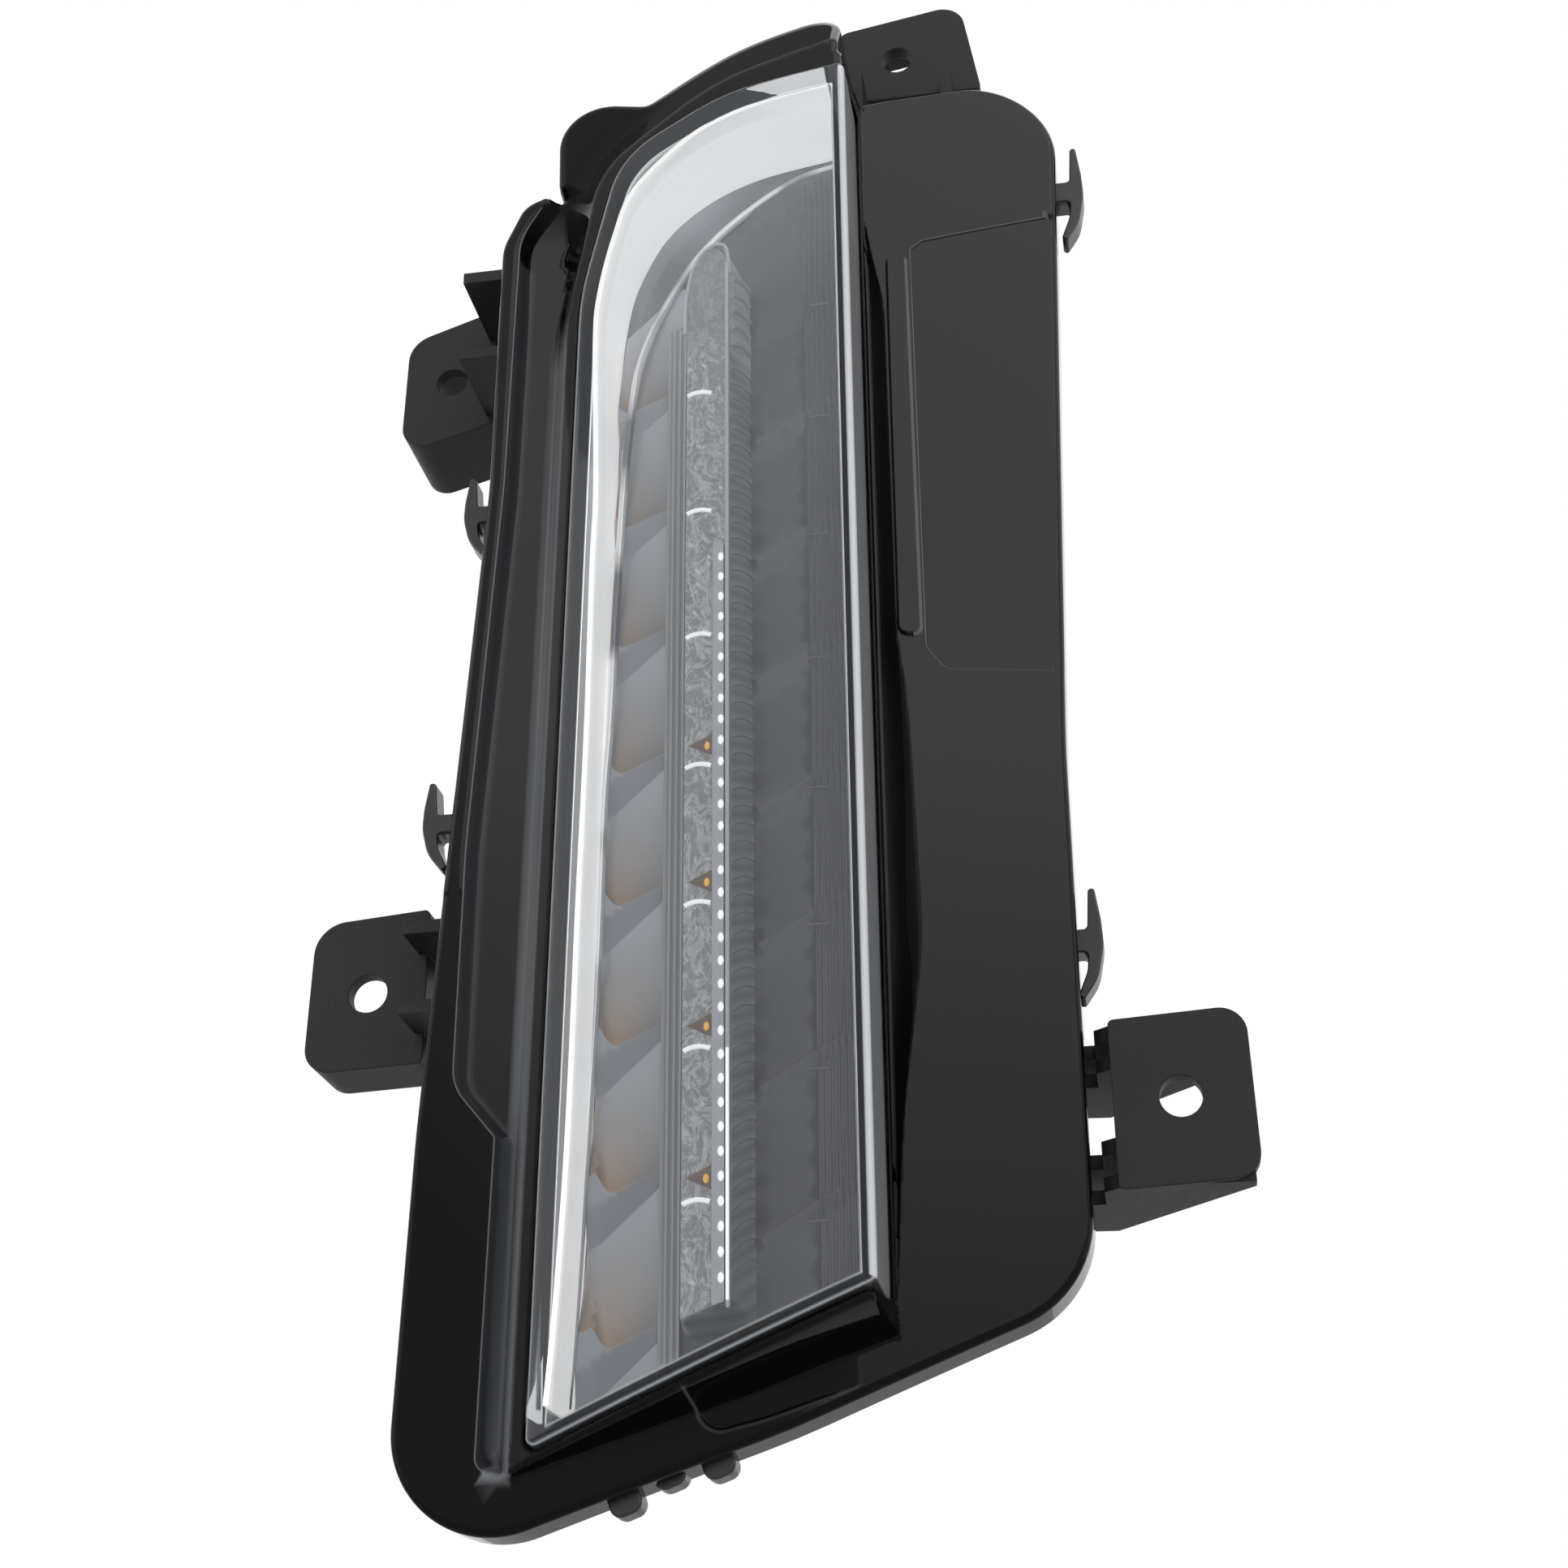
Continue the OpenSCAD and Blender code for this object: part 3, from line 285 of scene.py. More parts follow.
def fill(skin, height, outer, holes, lines, grid, facing=1, mark=0.0):
    """Triangles between an outer ring and holes, with extra points along lines and on a grid.

    outer and holes are (first number in the skin, points); they are shared, so the mesh stays closed."""
    rings = [outer] + holes
    flat = [ring for _, ring in rings]
    numbers = [np.arange(first, first + len(ring)) for first, ring in rings]
    low, high = outer[1].min(0), outer[1].max(0)
    xs = np.arange(low[0], high[0], grid)
    zs = np.arange(low[1], high[1], grid)
    cloud = np.array([(x + (0.5 * grid if k % 2 else 0), z) for k, z in enumerate(zs) for x in xs])
    edges = []
    base = sum(len(r) for r in flat)
    for first, ring in zip(np.cumsum([0] + [len(r) for r in flat[:-1]]), flat):
        edges += [(first + i, first + (i + 1) % len(ring)) for i in range(len(ring))]

    def clear(p, margin):
        ok = inside_distance(p, outer[1]) > margin
        for _, ring in holes:
            ok &= inside_distance(p, ring) < -margin
        return ok

    kept = cloud[clear(cloud, grid * 0.4)]
    for line in lines:
        if len(kept):
            kept = kept[distance_to(kept, line) > grid * 0.25]
    inner = [kept]
    number = base + len(kept)
    for line in lines:
        ok = clear(line, 0.3)
        index = np.full(len(line), -1)
        index[ok] = number + np.arange(ok.sum())
        inner.append(line[ok])
        number += ok.sum()
        for i in range(len(line)):
            j = (i + 1) % len(line)
            near = np.linalg.norm(line[i] - line[j]) < LINE_JOIN
            if near and index[i] >= 0 and index[j] >= 0:
                edges.append((int(index[i]), int(index[j])))
    inside = np.vstack(inner)
    everything = np.vstack(flat + [inside])
    result = delaunay_2d_cdt([Vector(p) for p in everything], [tuple(map(int, e)) for e in edges], [], 0, 1e-6)
    verts = np.array([tuple(v) for v in result[0]])
    origin = result[3]
    fixed = np.concatenate(numbers)
    number_of = np.full(len(verts), -1)
    fresh = []
    for i, source in enumerate(origin):
        own = [s for s in source if s < base]
        if own:
            number_of[i] = fixed[own[0]]
        else:
            fresh.append(i)
    fresh = np.array(fresh, int)
    points, normals = surface_points(verts[fresh], height)
    marks = mark(verts[fresh]) if callable(mark) else mark
    number_of[fresh] = skin.add(points, normals * facing, marks) + np.arange(len(fresh))
    tris = np.array(result[2])
    middle = verts[tris].mean(1)
    keep = inside_distance(middle, outer[1]) > 0
    for _, ring in holes:
        keep &= inside_distance(middle, ring) < 0
    a, b, c = (verts[tris[:, k]] for k in range(3))
    sides = np.stack([np.linalg.norm(q - p, axis=1) for p, q in ((a, b), (b, c), (c, a))], axis=1)
    area = (b[:, 0] - a[:, 0]) * (c[:, 1] - a[:, 1]) - (b[:, 1] - a[:, 1]) * (c[:, 0] - a[:, 0])
    thin = np.abs(area) < 1e-5 * sides.max(1)
    used = set()
    # A triangle with its corners in one line belongs inside only when a used one lies along its long side
    for i in np.lexsort((-sides.max(1), thin)):
        t = [int(v) for v in tris[i]]
        ends = [frozenset((t[k], t[(k + 1) % 3])) for k in range(3)]
        if (ends[int(sides[i].argmax())] in used) if thin[i] else keep[i]:
            used.update(ends)
            f = [int(number_of[v]) for v in t]
            if len(set(f)) == 3:
                skin.faces.append(f if facing > 0 else f[::-1])


def round_over(skin, previous, lip, lip_normals, side, radius, angles, mark=None, flip=False):
    """Rings that round an edge over from its lip. Gives the number and the points of the last one."""
    for a in angles:
        s, c = math.sin(math.radians(a)), math.cos(math.radians(a))
        p = lip + side * radius * s + [0, radius * (1 - c), 0]
        now = skin.add(p, unit_rows(side * s + lip_normals * c), mark(a) if mark else 0.0)
        skin.bridge(*((previous, now) if flip else (now, previous)), len(lip))
        previous = now
    return previous, p


# Sizes and colours that a user may change

def length(label, about, millimetres):
    return FloatProperty(name=label, description=about, default=millimetres * MM, min=0.0, precision=5,
                         unit="LENGTH", subtype="DISTANCE")


def colour(label, about, value):
    return FloatVectorProperty(name=label, description=about, default=value, min=0.0, max=1.0, size=3,
                               subtype="COLOR")


class LampSizes(PropertyGroup):
    """Lengths of the lamp's visible forms."""

    pocket_depth: length("Pocket depth", "Depth of the long pocket left of the lens", 5.5)
    panel_step: length("Panel step", "How far the panel right of the lens lies below the bezel's face", 0.45)
    strip_height: length("Strip height", "How far the strip beside the panel stands proud", 1.2)
    channel_depth: length("Channel depth", "Depth of the channel right of the lens", 2.8)
    rim_drop: length("Rim drop", "How far the rim lies behind the lens's front", 1.2)
    lens_wall: length("Lens wall", "Thickness of the clear cover", 2.5)
    cell_pitch: length("Cell pitch", "Distance from one reflector cell to the next", 25.2)
    bead_radius: length("Bead radius", "Radius of the bright bead beside the cells", 0.8)
    dot_pitch: length("Dot pitch", "Distance from one prism of the light guide to the next", 4.0)
    dot_width: length("Dot width", "Width of a prism of the light guide", 1.0)
    dot_height: length("Dot height", "Height of a prism of the light guide", 1.7)
    tick_radius: length("Tick radius", "Radius of the white arcs across the light bar", 0.4)
    rib_pitch: length("Rib pitch", "Distance from one rib on the bar's flank to the next", 3.3)
    clip_depth: length("Clip depth", "Front to back size of the side clips", 4.6)


class LampColours(PropertyGroup):
    """Colours of the lamp's finishes."""

    bezel: colour("Bezel", "Gloss black moulding", (0.0035, 0.0035, 0.0038))
    # Painted highlight: the grey that the bezel's fine edges are mixed towards
    bezel_painted_highlight: colour("Bezel edges", "Fine edges of the bezel that catch the light", (0.3, 0.31, 0.33))
    housing: colour("Housing", "Matt black moulding", (0.0095, 0.0095, 0.01))
    band: colour("White band", "Satin white moulding round the reflector", (0.9, 0.895, 0.88))
    # Painted reflection: the cell colours stand for what the plating reflects, pale at the top, painted shade at the
    # foot, amber at the lower left, pale on the steps
    cell_top_painted_reflection: colour("Cell top", "Upper end of a reflector cell", (0.42, 0.435, 0.46))
    cell_foot: colour("Cell foot", "Lower end of a reflector cell", (0.22, 0.21, 0.205))
    cell_painted_amber_reflection: colour("Cell glow", "Amber cast at the lower left of a cell", (0.36, 0.24, 0.16))
    cell_step_painted_reflection: colour("Cell step", "Slanted step between two cells", (0.33, 0.35, 0.385))
    inner_bezel: colour("Inner bezel", "Satin dark grey plate right of the bar", (0.085, 0.085, 0.088))
    amber_facet: colour("Amber facet", "Brown wedge beside each amber glint", (0.17, 0.1, 0.065))
    # Amber of the LEDs; in the bar the same colour glows as a painted glint
    amber: colour("Amber", "Amber light source behind the bar", (0.95, 0.52, 0.1))
    floor: colour("Floor", "Plain floor under the lamp", (0.82, 0.82, 0.82))


def sizes():
    return bpy.context.scene.lamp_sizes


def colours():
    return bpy.context.scene.lamp_colours


def mm(metres):
    return metres / MM


def in_frame(x, y, z):
    """A place in millimetres as the row frame's metres."""
    return tuple(float(v) for v in (np.array([x, y, z]) - EAR_HOLE) * MM)


# Bezel

LOOPS = {name: rounded(corners, 3.0) for name, corners in {
    "rim": RIM_LEFT_AND_TOP, "pocket": POCKET, "panel": PANEL, "strip": STRIP, "foot": FOOT_PANEL}.items()}
RIM_FOOT_LINE = (np.array([-42.5, -113.8]), unit(np.array([56.7, 23.4])))
RIM_RIGHT = 14.3
CHANNEL_X = 15.0
# Right bank of the channel beside the lens: heights and places
BANK_Z = [-92, -87, -68, -55, -44, -28, -7, 7, 20, 30, 65, 103, 110, 120, 136]
BANK_X = [15.9, 16.1, 17.2, 18.3, 20, 22.1, 21.8, 21.4, 21, 19.6, 19.5, 19.4, 17.8, 16.2, 15.2]
# Edges with a painted highlight: outline, distance inside it, half width, strength
PAINTED_EDGE_HIGHLIGHTS = (("panel", 0.12, 0.12, 0.55), ("strip", 0.3, 0.3, 0.6), ("pocket", -0.4, 0.15, 0.5),
             ("foot", 0.4, 0.4, 0.2))
EDGE_R, HOLE_EDGE_R = 1.3, 0.5
# How far behind the face the skirt, the skirt at the ear's notch and the inner side lie
SKIRT_DEPTH, NOTCH_DEPTH, INSIDE_DEPTH = 9.0, 3.2, 7.7
NOTCH = (-70.5, -41.9)


def bank_place(z):
    """X of the channel's right bank, as a soft curve through the measured places."""
    near = [np.interp(z + d, BANK_Z, BANK_X) for d in (-6, -3, 0, 3, 6)]
    return sum(w * n for w, n in zip((0.1, 0.22, 0.36, 0.22, 0.1), near))


def channel_depth(x, z, depth):
    width = np.maximum(bank_place(z) - CHANNEL_X, 0.5)
    t = np.clip((x - CHANNEL_X) / width, 0, 1)
    ends = ramp((z + 91) / 2.5) * ramp((140 - z) / 14)
    return depth * ends * (1 - t * t) ** 1.4 * (x > 14)


def bezel_height(p):
    size = sizes()
    x, z = p[:, 0], p[:, 1]
    ground = face(x)
    ground = ground + mm(size.panel_step) * ramp(inside_distance(p, LOOPS["panel"]) / 0.45)
    ground = ground - mm(size.strip_height) * ramp(inside_distance(p, LOOPS["strip"]) / 0.6)
    ground = ground + channel_depth(x, z, mm(size.channel_depth))
    ground = ground + 0.7 * ramp(inside_distance(p, LOOPS["foot"]) / 1.2) * ramp((12 - x) / 16)
    in_pocket = inside_distance(p, LOOPS["pocket"])
    ground = ground - 0.25 * ramp((z + 18.6) / 0.5) * ramp(-in_pocket - 0.2) * ramp((-44 - x) / 2)
    left = -inside_distance(p, LOOPS["rim"])
    shallow = 1 - 0.42 * ramp((left - 3.5) / 8.5)
    ground = ground + mm(size.pocket_depth) * shallow * ramp((in_pocket + 0.4) / 1.4)
    top = lens_front(np.clip(x, -46, 20)) + mm(size.rim_drop)
    lean = 2.2 + (0.69 - 2.2) * ramp((z - 96) / 36)
    slope = lean * eased(left, 0.5)
    origin, along = RIM_FOOT_LINE
    below = -((p - origin) @ np.array([-along[1], along[0]]))
    slope = smooth_max(slope, 5.0 * eased(below, 0.35), 0.6)
    slope = smooth_max(slope, 9.0 * eased(x - RIM_RIGHT, 0.3), 0.6)
    fillet = 0.5 + 2.6 * ramp((below + 1) / 3) + 1.2 * ramp((z - 110) / 30)
    return smooth_min(ground, top + slope, fillet)


def painted_light_marks(p):
    """1 on the fine edges that get a painted highlight, less on the rim's left flank and the pocket's wall that get
    a painted reflection, 0 away from them, below 0 on the rim's top flank, which gets painted shade.
    """
    x, z = p[:, 0], p[:, 1]
    out = np.zeros(len(p))
    for name, place, width, strength in PAINTED_EDGE_HIGHLIGHTS:
        peak = strength * np.clip(1 - np.abs(inside_distance(p, LOOPS[name]) - place) / width, 0, 1)
        if name == "pocket":
            peak = peak * (x < -45)
        if name == "strip":
            peak = peak * ((x > 22.5) | (z > 111))
        if name == "foot":
            peak = peak * (x < 10)
        out = np.maximum(out, peak)
    left = -inside_distance(p, LOOPS["rim"])
    # Painted reflection: a light strip on the rim's left flank beside the pocket
    flank = ramp((left + 0.4) / 0.5) * ramp((4.4 - left) / 0.5) * (x < -35) * ramp((100 - z) / 12)
    out = np.maximum(out, 0.58 * flank * ramp((z + 115.5) / 2))
    in_pocket = inside_distance(p, LOOPS["pocket"])
    # Painted reflection: a faint light band on the pocket's wall
    wall = ramp((in_pocket + 0.5) / 0.3) * ramp((2.2 - in_pocket) / 0.6) * (x < -44) * (z < 112)
    out = np.maximum(out, 0.12 * wall)
    # Painted shade: below 0 on the rim's top flank
    return out - 0.95 * ramp((z - 116) / 12) * ramp((left - 0.2) / 0.8) * (x < 14.5) * (out < 0.01)


def bezel_lines():
    """Lines that the bezel's faces follow: the rim's flank, each step's edge and the channel's bank."""
    lines = [spaced(rounded(grown(LENS, LENS_GAP + 0.5 + row), 5.0), 1.3) for row in (
        0.25, 0.55, 0.9, 1.3, 1.8, 2.2, 2.45, 2.7, 3.0, 3.4, 3.9, 4.5, 5.2, 6.0, 6.8)]
    flank_end = rounded(grown(LENS, 7.6), 6.0)
    for corners, offsets in ((POCKET, (-0.9, -0.55, -0.4, -0.25, 0.0, 0.3, 0.6, 0.9, 1.3,
                                       2.1, 2.9, 3.7, 4.6, 5.5)),
                             (PANEL, (0, 0.12, 0.24, 0.45, 0.7)),
                             (STRIP, (-0.2, 0, 0.3, 0.6, 0.9)), (FOOT_PANEL, (0, 0.4, 0.8, 1.2))):
        for d in offsets:
            line = spaced(rounded(grown(corners, -d), 6.0), 1.3)
            lines.append(line[inside_distance(line, flank_end) < 0] if corners is POCKET else line)
    lines += [spaced(rounded(grown(BEZEL, -EDGE_R - d), 6.0), 2.0) for d in (0.35, 0.8, 1.5)]
    z = np.arange(-89.0, 133.0, 1.3)
    for share in (0.55, 0.75, 0.9, 1.0):
        lines.append(np.stack([CHANNEL_X + (bank_place(z) - CHANNEL_X) * share, z], axis=1))
    return lines


def bezel_mesh():
    """The moulded bezel: face, rim, pocket, panel, channel and skirt as one closed shell."""
    skin = Skin()
    outer = spaced(rounded(grown(BEZEL, -EDGE_R), 3.0), 0.9)
    count = len(outer)
    out = outward(outer)
    lip, lip_n = surface_points(outer, bezel_height)
    first = skin.add(lip, lip_n)
    notch = (outer[:, 0] > 40) & (outer[:, 1] > NOTCH[0]) & (outer[:, 1] < NOTCH[1])
    back = face(outer[:, 0]) + np.where(notch, NOTCH_DEPTH, SKIRT_DEPTH)
    side = in_space(out)
    previous, p = round_over(skin, first, lip, lip_n, side, EDGE_R, (22, 45, 67, 90))
    wall = p.copy()
    wall[:, 1] = np.maximum(back - 0.4, wall[:, 1] + 0.3)
    now = skin.add(wall, side)
    skin.bridge(now, previous, count)
    previous = now
    for inset, drop in ((0.12, 0.28), (0.4, 0.4)):
        now = skin.add(wall - side * inset + [0, drop, 0])
        skin.bridge(now, previous, count)
        previous = now
    inner = outer - out * (SKIN_T - EDGE_R)
    floor = in_space(inner, wall[:, 1] + 0.4)
    now = skin.add(floor)
    skin.bridge(now, previous, count)
    previous = now
    floor[:, 1] = np.minimum(face(inner[:, 0]) + INSIDE_DEPTH, floor[:, 1] - 0.2)
    inner_first = skin.add(floor)
    skin.bridge(inner_first, previous, count)

    opening = spaced(rounded(grown(LENS, LENS_GAP), 6.0), 1.1)
    hole_out = outward(opening)
    shoulder = opening + hole_out * HOLE_EDGE_R
    lip, lip_n = surface_points(shoulder, bezel_height)
    hole_first = skin.add(lip, lip_n)
    inward = in_space(-hole_out)
    forward = np.array([0, -1.0, 0])
    previous, p = round_over(skin, hole_first, lip, forward, inward, HOLE_EDGE_R, (30, 60, 90), flip=True)
    deep = p.copy()
    deep[:, 1] = np.maximum(face(opening[:, 0]) + INSIDE_DEPTH, p[:, 1] + 0.2)
    ring_first = skin.add(deep, inward)
    skin.bridge(previous, ring_first, len(opening))

    fill(skin, bezel_height, (first, outer), [(hole_first, shoulder)], bezel_lines(), 3.0, mark=painted_light_marks)
    fill(skin, lambda q: face(q[:, 0]) + INSIDE_DEPTH, (inner_first, inner), [(ring_first, opening)], [], 8.0,
         facing=-1)
    return skin.mesh("bezel_shell")


# Side clips and foot tongues

# X, Z, side and share of the full height
CLIPS = ((53.0, 131.8, 1, 1.0), (46.4, -26.2, 1, 0.9), (-52.8, 57.4, -1, 0.75), (-57.1, -4.2, -1, 0.75))
CLIP_OUTLINE = [
    (-1.5, -2.3, 0), (2.5, -2.3, 0.9), (2.2, -6, 6), (0.4, -10.9, 0.5), (1.3, -11.7, 0.5), (4, -7.5, 9),
    (5.2, -1, 12), (5.0, 4, 12), (4.2, 10.6, 0.45), (3.1, 10.2, 0.5), (2.6, 2.3, 0.9), (-1.5, 2.3, 0)]
TONGUE_TILT = math.radians(20)


def turned(corners, x, z, tilt=0.0, side=1):
    """An outline moved to x, z, turned by tilt, and mirrored where side is -1."""
    s, c = math.sin(tilt), math.cos(tilt)
    out = [(x + side * (u * c - v * s), z + u * s + v * c, r) for u, v, r in corners]
    return out if side > 0 else out[::-1]


def clip_mesh(number):
    x, z, side, tall = CLIPS[number]
    front = float(face(x)) + SKIN_T
    corners = turned([(u, v * tall, r * tall) for u, v, r in CLIP_OUTLINE], x, z, 0.0, side)
    return slab("side_clip_%d" % (number + 1), corners, level(front),
                front + mm(sizes().clip_depth), 3.0, round_off=0.35)


def tongue_mesh(number):
    """A rounded tongue under the bezel's foot; the middle one is the shortest."""
    x, z = -26.5 + 7 * number, -115.3 + 2.7 * number
    reach = 2.6 if number == 1 else 4.0
    front = float(face(x)) + 3.5
    corners = turned([(-2.6, -reach, 1.9), (2.6, -reach, 1.9), (2.6, 3, 0), (-2.6, 3, 0)], x, z, TONGUE_TILT)
    return slab("foot_tongue_%d" % (number + 1), corners, level(front), front + 4.5, 3.0,
                round_off=0.4)


# Lens and everything behind it

LENS_EDGE_R, LENS_INNER_R, LENS_BACK_Y = 1.3, 0.5, 19.0
BAND_FRONT = [
    (11.6, 142.5), (2.1, 140.9), (-7.6, 138.0), (-16.0, 133.2), (-25.6, 123.0), (-29.2, 112.7), (-31.8, 99.8),
    (-32.4, 88.8), (-31.6, 57.3), (-31.9, 40.6), (-32.1, 8.8), (-32.7, -21), (-33.4, -62.5), (-34.5, -88.1),
    (-35.6, -104.2)]
BAND_DEEP = [
    (11.6, 140.7), (8.7, 140.2), (-4.8, 137.7), (-14.9, 133.2), (-23.2, 125.9), (-28.7, 115.4), (-31.0, 106),
    (-32.2, 92.7), (-32.5, 69), (-32.6, 42.9), (-33.2, 18.1), (-33.5, 2.2), (-33.8, -28.2), (-34.5, -56.8),
    (-35.4, -83.7), (-36.4, -103.4)]
BAND_Y, BAND_DEPTH = -8.8, 19.0
TRIM_LINE = [
    (11.6, 138.2), (7.6, 137.3), (3.1, 135.9), (-4.3, 131.4), (-12.4, 124.6), (-18.9, 116.6), (-24.4, 105.8),
    (-27.8, 93.9), (-29.2, 82.9), (-30.2, 68.6), (-31.3, 42.6), (-32, 17.8), (-32.8, 1.9), (-33.3, -28.5),
    (-34.4, -57), (-35.5, -83.9), (-36.6, -101.8)]
CELLS = 8
FLOOR_Y, COVE_BACK_Y = 10.0, 12.2
# The foot of the top cell: a place on its edge (X, Z) and the edge's slope
CELL_FOOT = (-29.5, 84.0, 0.52)
# The inner bezel's top step, likewise, and its fine upright lines
PLATE_STEP = (-6.6, 75.0, 0.6)
FLUTE_LEFT, FLUTE_RIGHT, FLUTE_PITCH = 3.2, 9.8, 1.1
BAR_FRONT = -4.0
BAR_OUTLINE = [(-16.7, -91.4, 0.6), (-8.6, -88.4, 0.6), (-8.6, 110.6, 3.2), (-12.0, 112.2, 3.0), (-16.7, 105.0, 4.5)]
# The bar's section from front to back: Y, growth of the outline, how much of the front's pattern it shows
BAR_LEVELS = ((-4.0, -0.7, 1.0), (-3.85, -0.25, 1.0), (-3.4, 0.0, 0.4), (-2.6, 0.12, 0.0), (4.0, 1.0, 0.0),
              (13.5, 2.0, 0.0))
BAR_ARCH = [(-16.9, 92.0), (-16.7, 100.0), (-15.2, 107.5), (-12.0, 111.6), (-9.3, 111.0), (-8.5, 105.0)]
TICK_TOP, AMBERS = 78.6, 4
# The light guide's prisms: place of the top one and the length of the row
PRISM_TOP, PRISM_ROW = (-9.95, -5.15, 42.8), 131.6
RAIL_X = (-11.5, -9.5)


def smooth_path(points, count):
    """count points along a soft curve through the given ones."""
    p = np.array(points, float)
    p = np.vstack([2 * p[0] - p[1], p, 2 * p[-1] - p[-2]])
    out = []
    for i in range(1, len(p) - 2):
        a, b, c, d = p[i - 1:i + 3]
        for t in np.linspace(0, 1, 24, endpoint=i == len(p) - 3):
            out.append(0.5 * (2 * b + (c - a) * t + (2 * a - 5 * b + 4 * c - d) * t * t
                              + (3 * b - a - 3 * c + d) * t ** 3))
    out = np.array(out)
    along = np.concatenate([[0], np.cumsum(np.linalg.norm(np.diff(out, axis=0), axis=1))])
    at = np.linspace(0, along[-1], count)
    return np.stack([np.interp(at, along, out[:, i]) for i in range(out.shape[1])], axis=1)


def corner_arcs(corners, step):
    """The points of each corner's arc, one array for each corner."""
    arcs = []
    for i in range(len(corners)):
        three = [corners[i - 1], corners[i], corners[(i + 1) % len(corners)]]
        three = [(x, z, r if k == 1 else 0) for k, (x, z, r) in enumerate(three)]
        arcs.append(rounded(three, step)[1:-1])
    return arcs


def ring(corners, d=0.0, gap=1.3, step=6.0):
    """The outline moved out by d. Every d gives the same number of points, one beside the other."""
    plain, moved = corner_arcs(corners, step), corner_arcs(grown(corners, d), step)
    out = []
    for i in range(len(corners)):
        j = (i + 1) % len(corners)
        out += list(moved[i])
        parts = max(1, math.ceil(float(np.linalg.norm(plain[j][0] - plain[i][-1])) / gap))
        out += [moved[i][-1] + (moved[j][0] - moved[i][-1]) * k / parts for k in range(1, parts)]
    return np.array(out)


def face_out(mesh):
    """Turns the normals outward and smooths all but the sharp edges."""
    work = bmesh.new()
    work.from_mesh(mesh)
    bmesh.ops.recalc_face_normals(work, faces=work.faces)
    work.to_mesh(mesh)
    work.free()
    if "custom_normal" in mesh.attributes:
        mesh.attributes.remove(mesh.attributes["custom_normal"])
    mesh.polygons.foreach_set("use_smooth", [True] * len(mesh.polygons))
    mesh.set_sharp_from_angle(angle=math.radians(35))
    return mesh


def loft(name, sections, marks=None):
    """A closed tube through rings of points, capped at both ends."""
    skin = Skin()
    size = len(sections[0])
    marks = marks or [0.0] * len(sections)
    firsts = [skin.add(section, None, mark) for section, mark in zip(sections, marks)]
    for a, b in zip(firsts, firsts[1:]):
        skin.bridge(a, b, size)
    skin.faces.append([firsts[0] + i for i in range(size)][::-1])
    skin.faces.append([firsts[-1] + i for i in range(size)])
    return face_out(skin.mesh(name))


def level(y):
    """A height function that is the same everywhere."""
    return lambda p: np.full(len(p), float(y))


def slab(name, corners, front, back, grid, lines=(), mark=0.0, round_off=0.25):
    """A closed plate with a shaped front, a plain back and a small round along its front edge."""
    skin = Skin()
    edge = ring(corners, -round_off)
    out = outward(edge)
    lip, lip_n = surface_points(edge, front)
    first = skin.add(lip, lip_n, mark(edge) if callable(mark) else mark)
    previous, p = round_over(skin, first, lip, lip_n, in_space(out), round_off, (45, 90))
    deep = p.copy()
    deep[:, 1] = back
    now = skin.add(deep)
    skin.bridge(now, previous, len(edge))
    fill(skin, front, (first, edge), [], lines, grid, 1, mark)
    fill(skin, level(back), (now, deep[:, [0, 2]]), [], [], max(grid, 8.0), facing=-1)
    return skin.mesh(name)


def lens_mesh():
    """The cover: curved front, rounded front corner and side walls, hollow behind."""
    skin = Skin()
    wall = mm(sizes().lens_wall)
    edge = ring(LENS, -LENS_EDGE_R)
    size = len(edge)
    side = in_space(outward(edge))
    right = ramp((side[:, 0] - 0.8) / 0.15)
    # Painted reflection: a pale sheen, strong on the right side wall and faint elsewhere
    painted_wall_sheen = 0.06 + 0.32 * right

    def outer(p):
        return lens_front(p[:, 0])

    def inner(p):
        return lens_front(p[:, 0]) + wall

    # Painted highlight: thin bright lines along the rounded front corner, broad on the right side
    def painted_lens_highlight(angle):
        peak = math.sin(math.radians(2 * angle))
        mark = (1 - right) * 0.6 * peak ** 14 + right * peak ** 0.4
        return np.maximum(mark, painted_wall_sheen) if angle == 90 else mark

    lip, lip_n = surface_points(edge, outer)
    first = skin.add(lip, lip_n, 0.0)
    previous, _ = round_over(skin, first, lip, lip_n, side, LENS_EDGE_R, (12, 24, 34, 45, 56, 66, 78, 90), painted_lens_highlight)
    soft = 0.2
    for d, y, n in ((0, LENS_BACK_Y - soft, side), (-soft, LENS_BACK_Y, None), (-wall + soft, LENS_BACK_Y, None),
                    (-wall, LENS_BACK_Y - soft, -side)):
        now = skin.add(in_space(ring(LENS, d), y), n, painted_wall_sheen if d > -1 else 0.0)
        skin.bridge(now, previous, size)
        previous = now
    flat = ring(LENS, -wall - LENS_INNER_R)
    deep, deep_n = surface_points(flat, inner)
    base = ring(LENS, -wall)
    # Painted highlight along the inner rounded corner
    for a, mark in ((90, 0.0), (68, 0.5), (45, 0.8), (22, 0.5)):
        s, c = math.sin(math.radians(a)), math.cos(math.radians(a))
        p = in_space(flat + (base - flat) * s, deep[:, 1] + LENS_INNER_R * (1 - c))
        now = skin.add(p, unit_rows(-side * s - deep_n * c), mark)
        skin.bridge(now, previous, size)
        previous = now
    now = skin.add(deep, -deep_n)
    skin.bridge(now, previous, size)
    fill(skin, outer, (first, edge), [], [], 5.0)
    fill(skin, inner, (now, flat), [], [], 5.0, facing=-1)
    return skin.mesh("lens_cover")


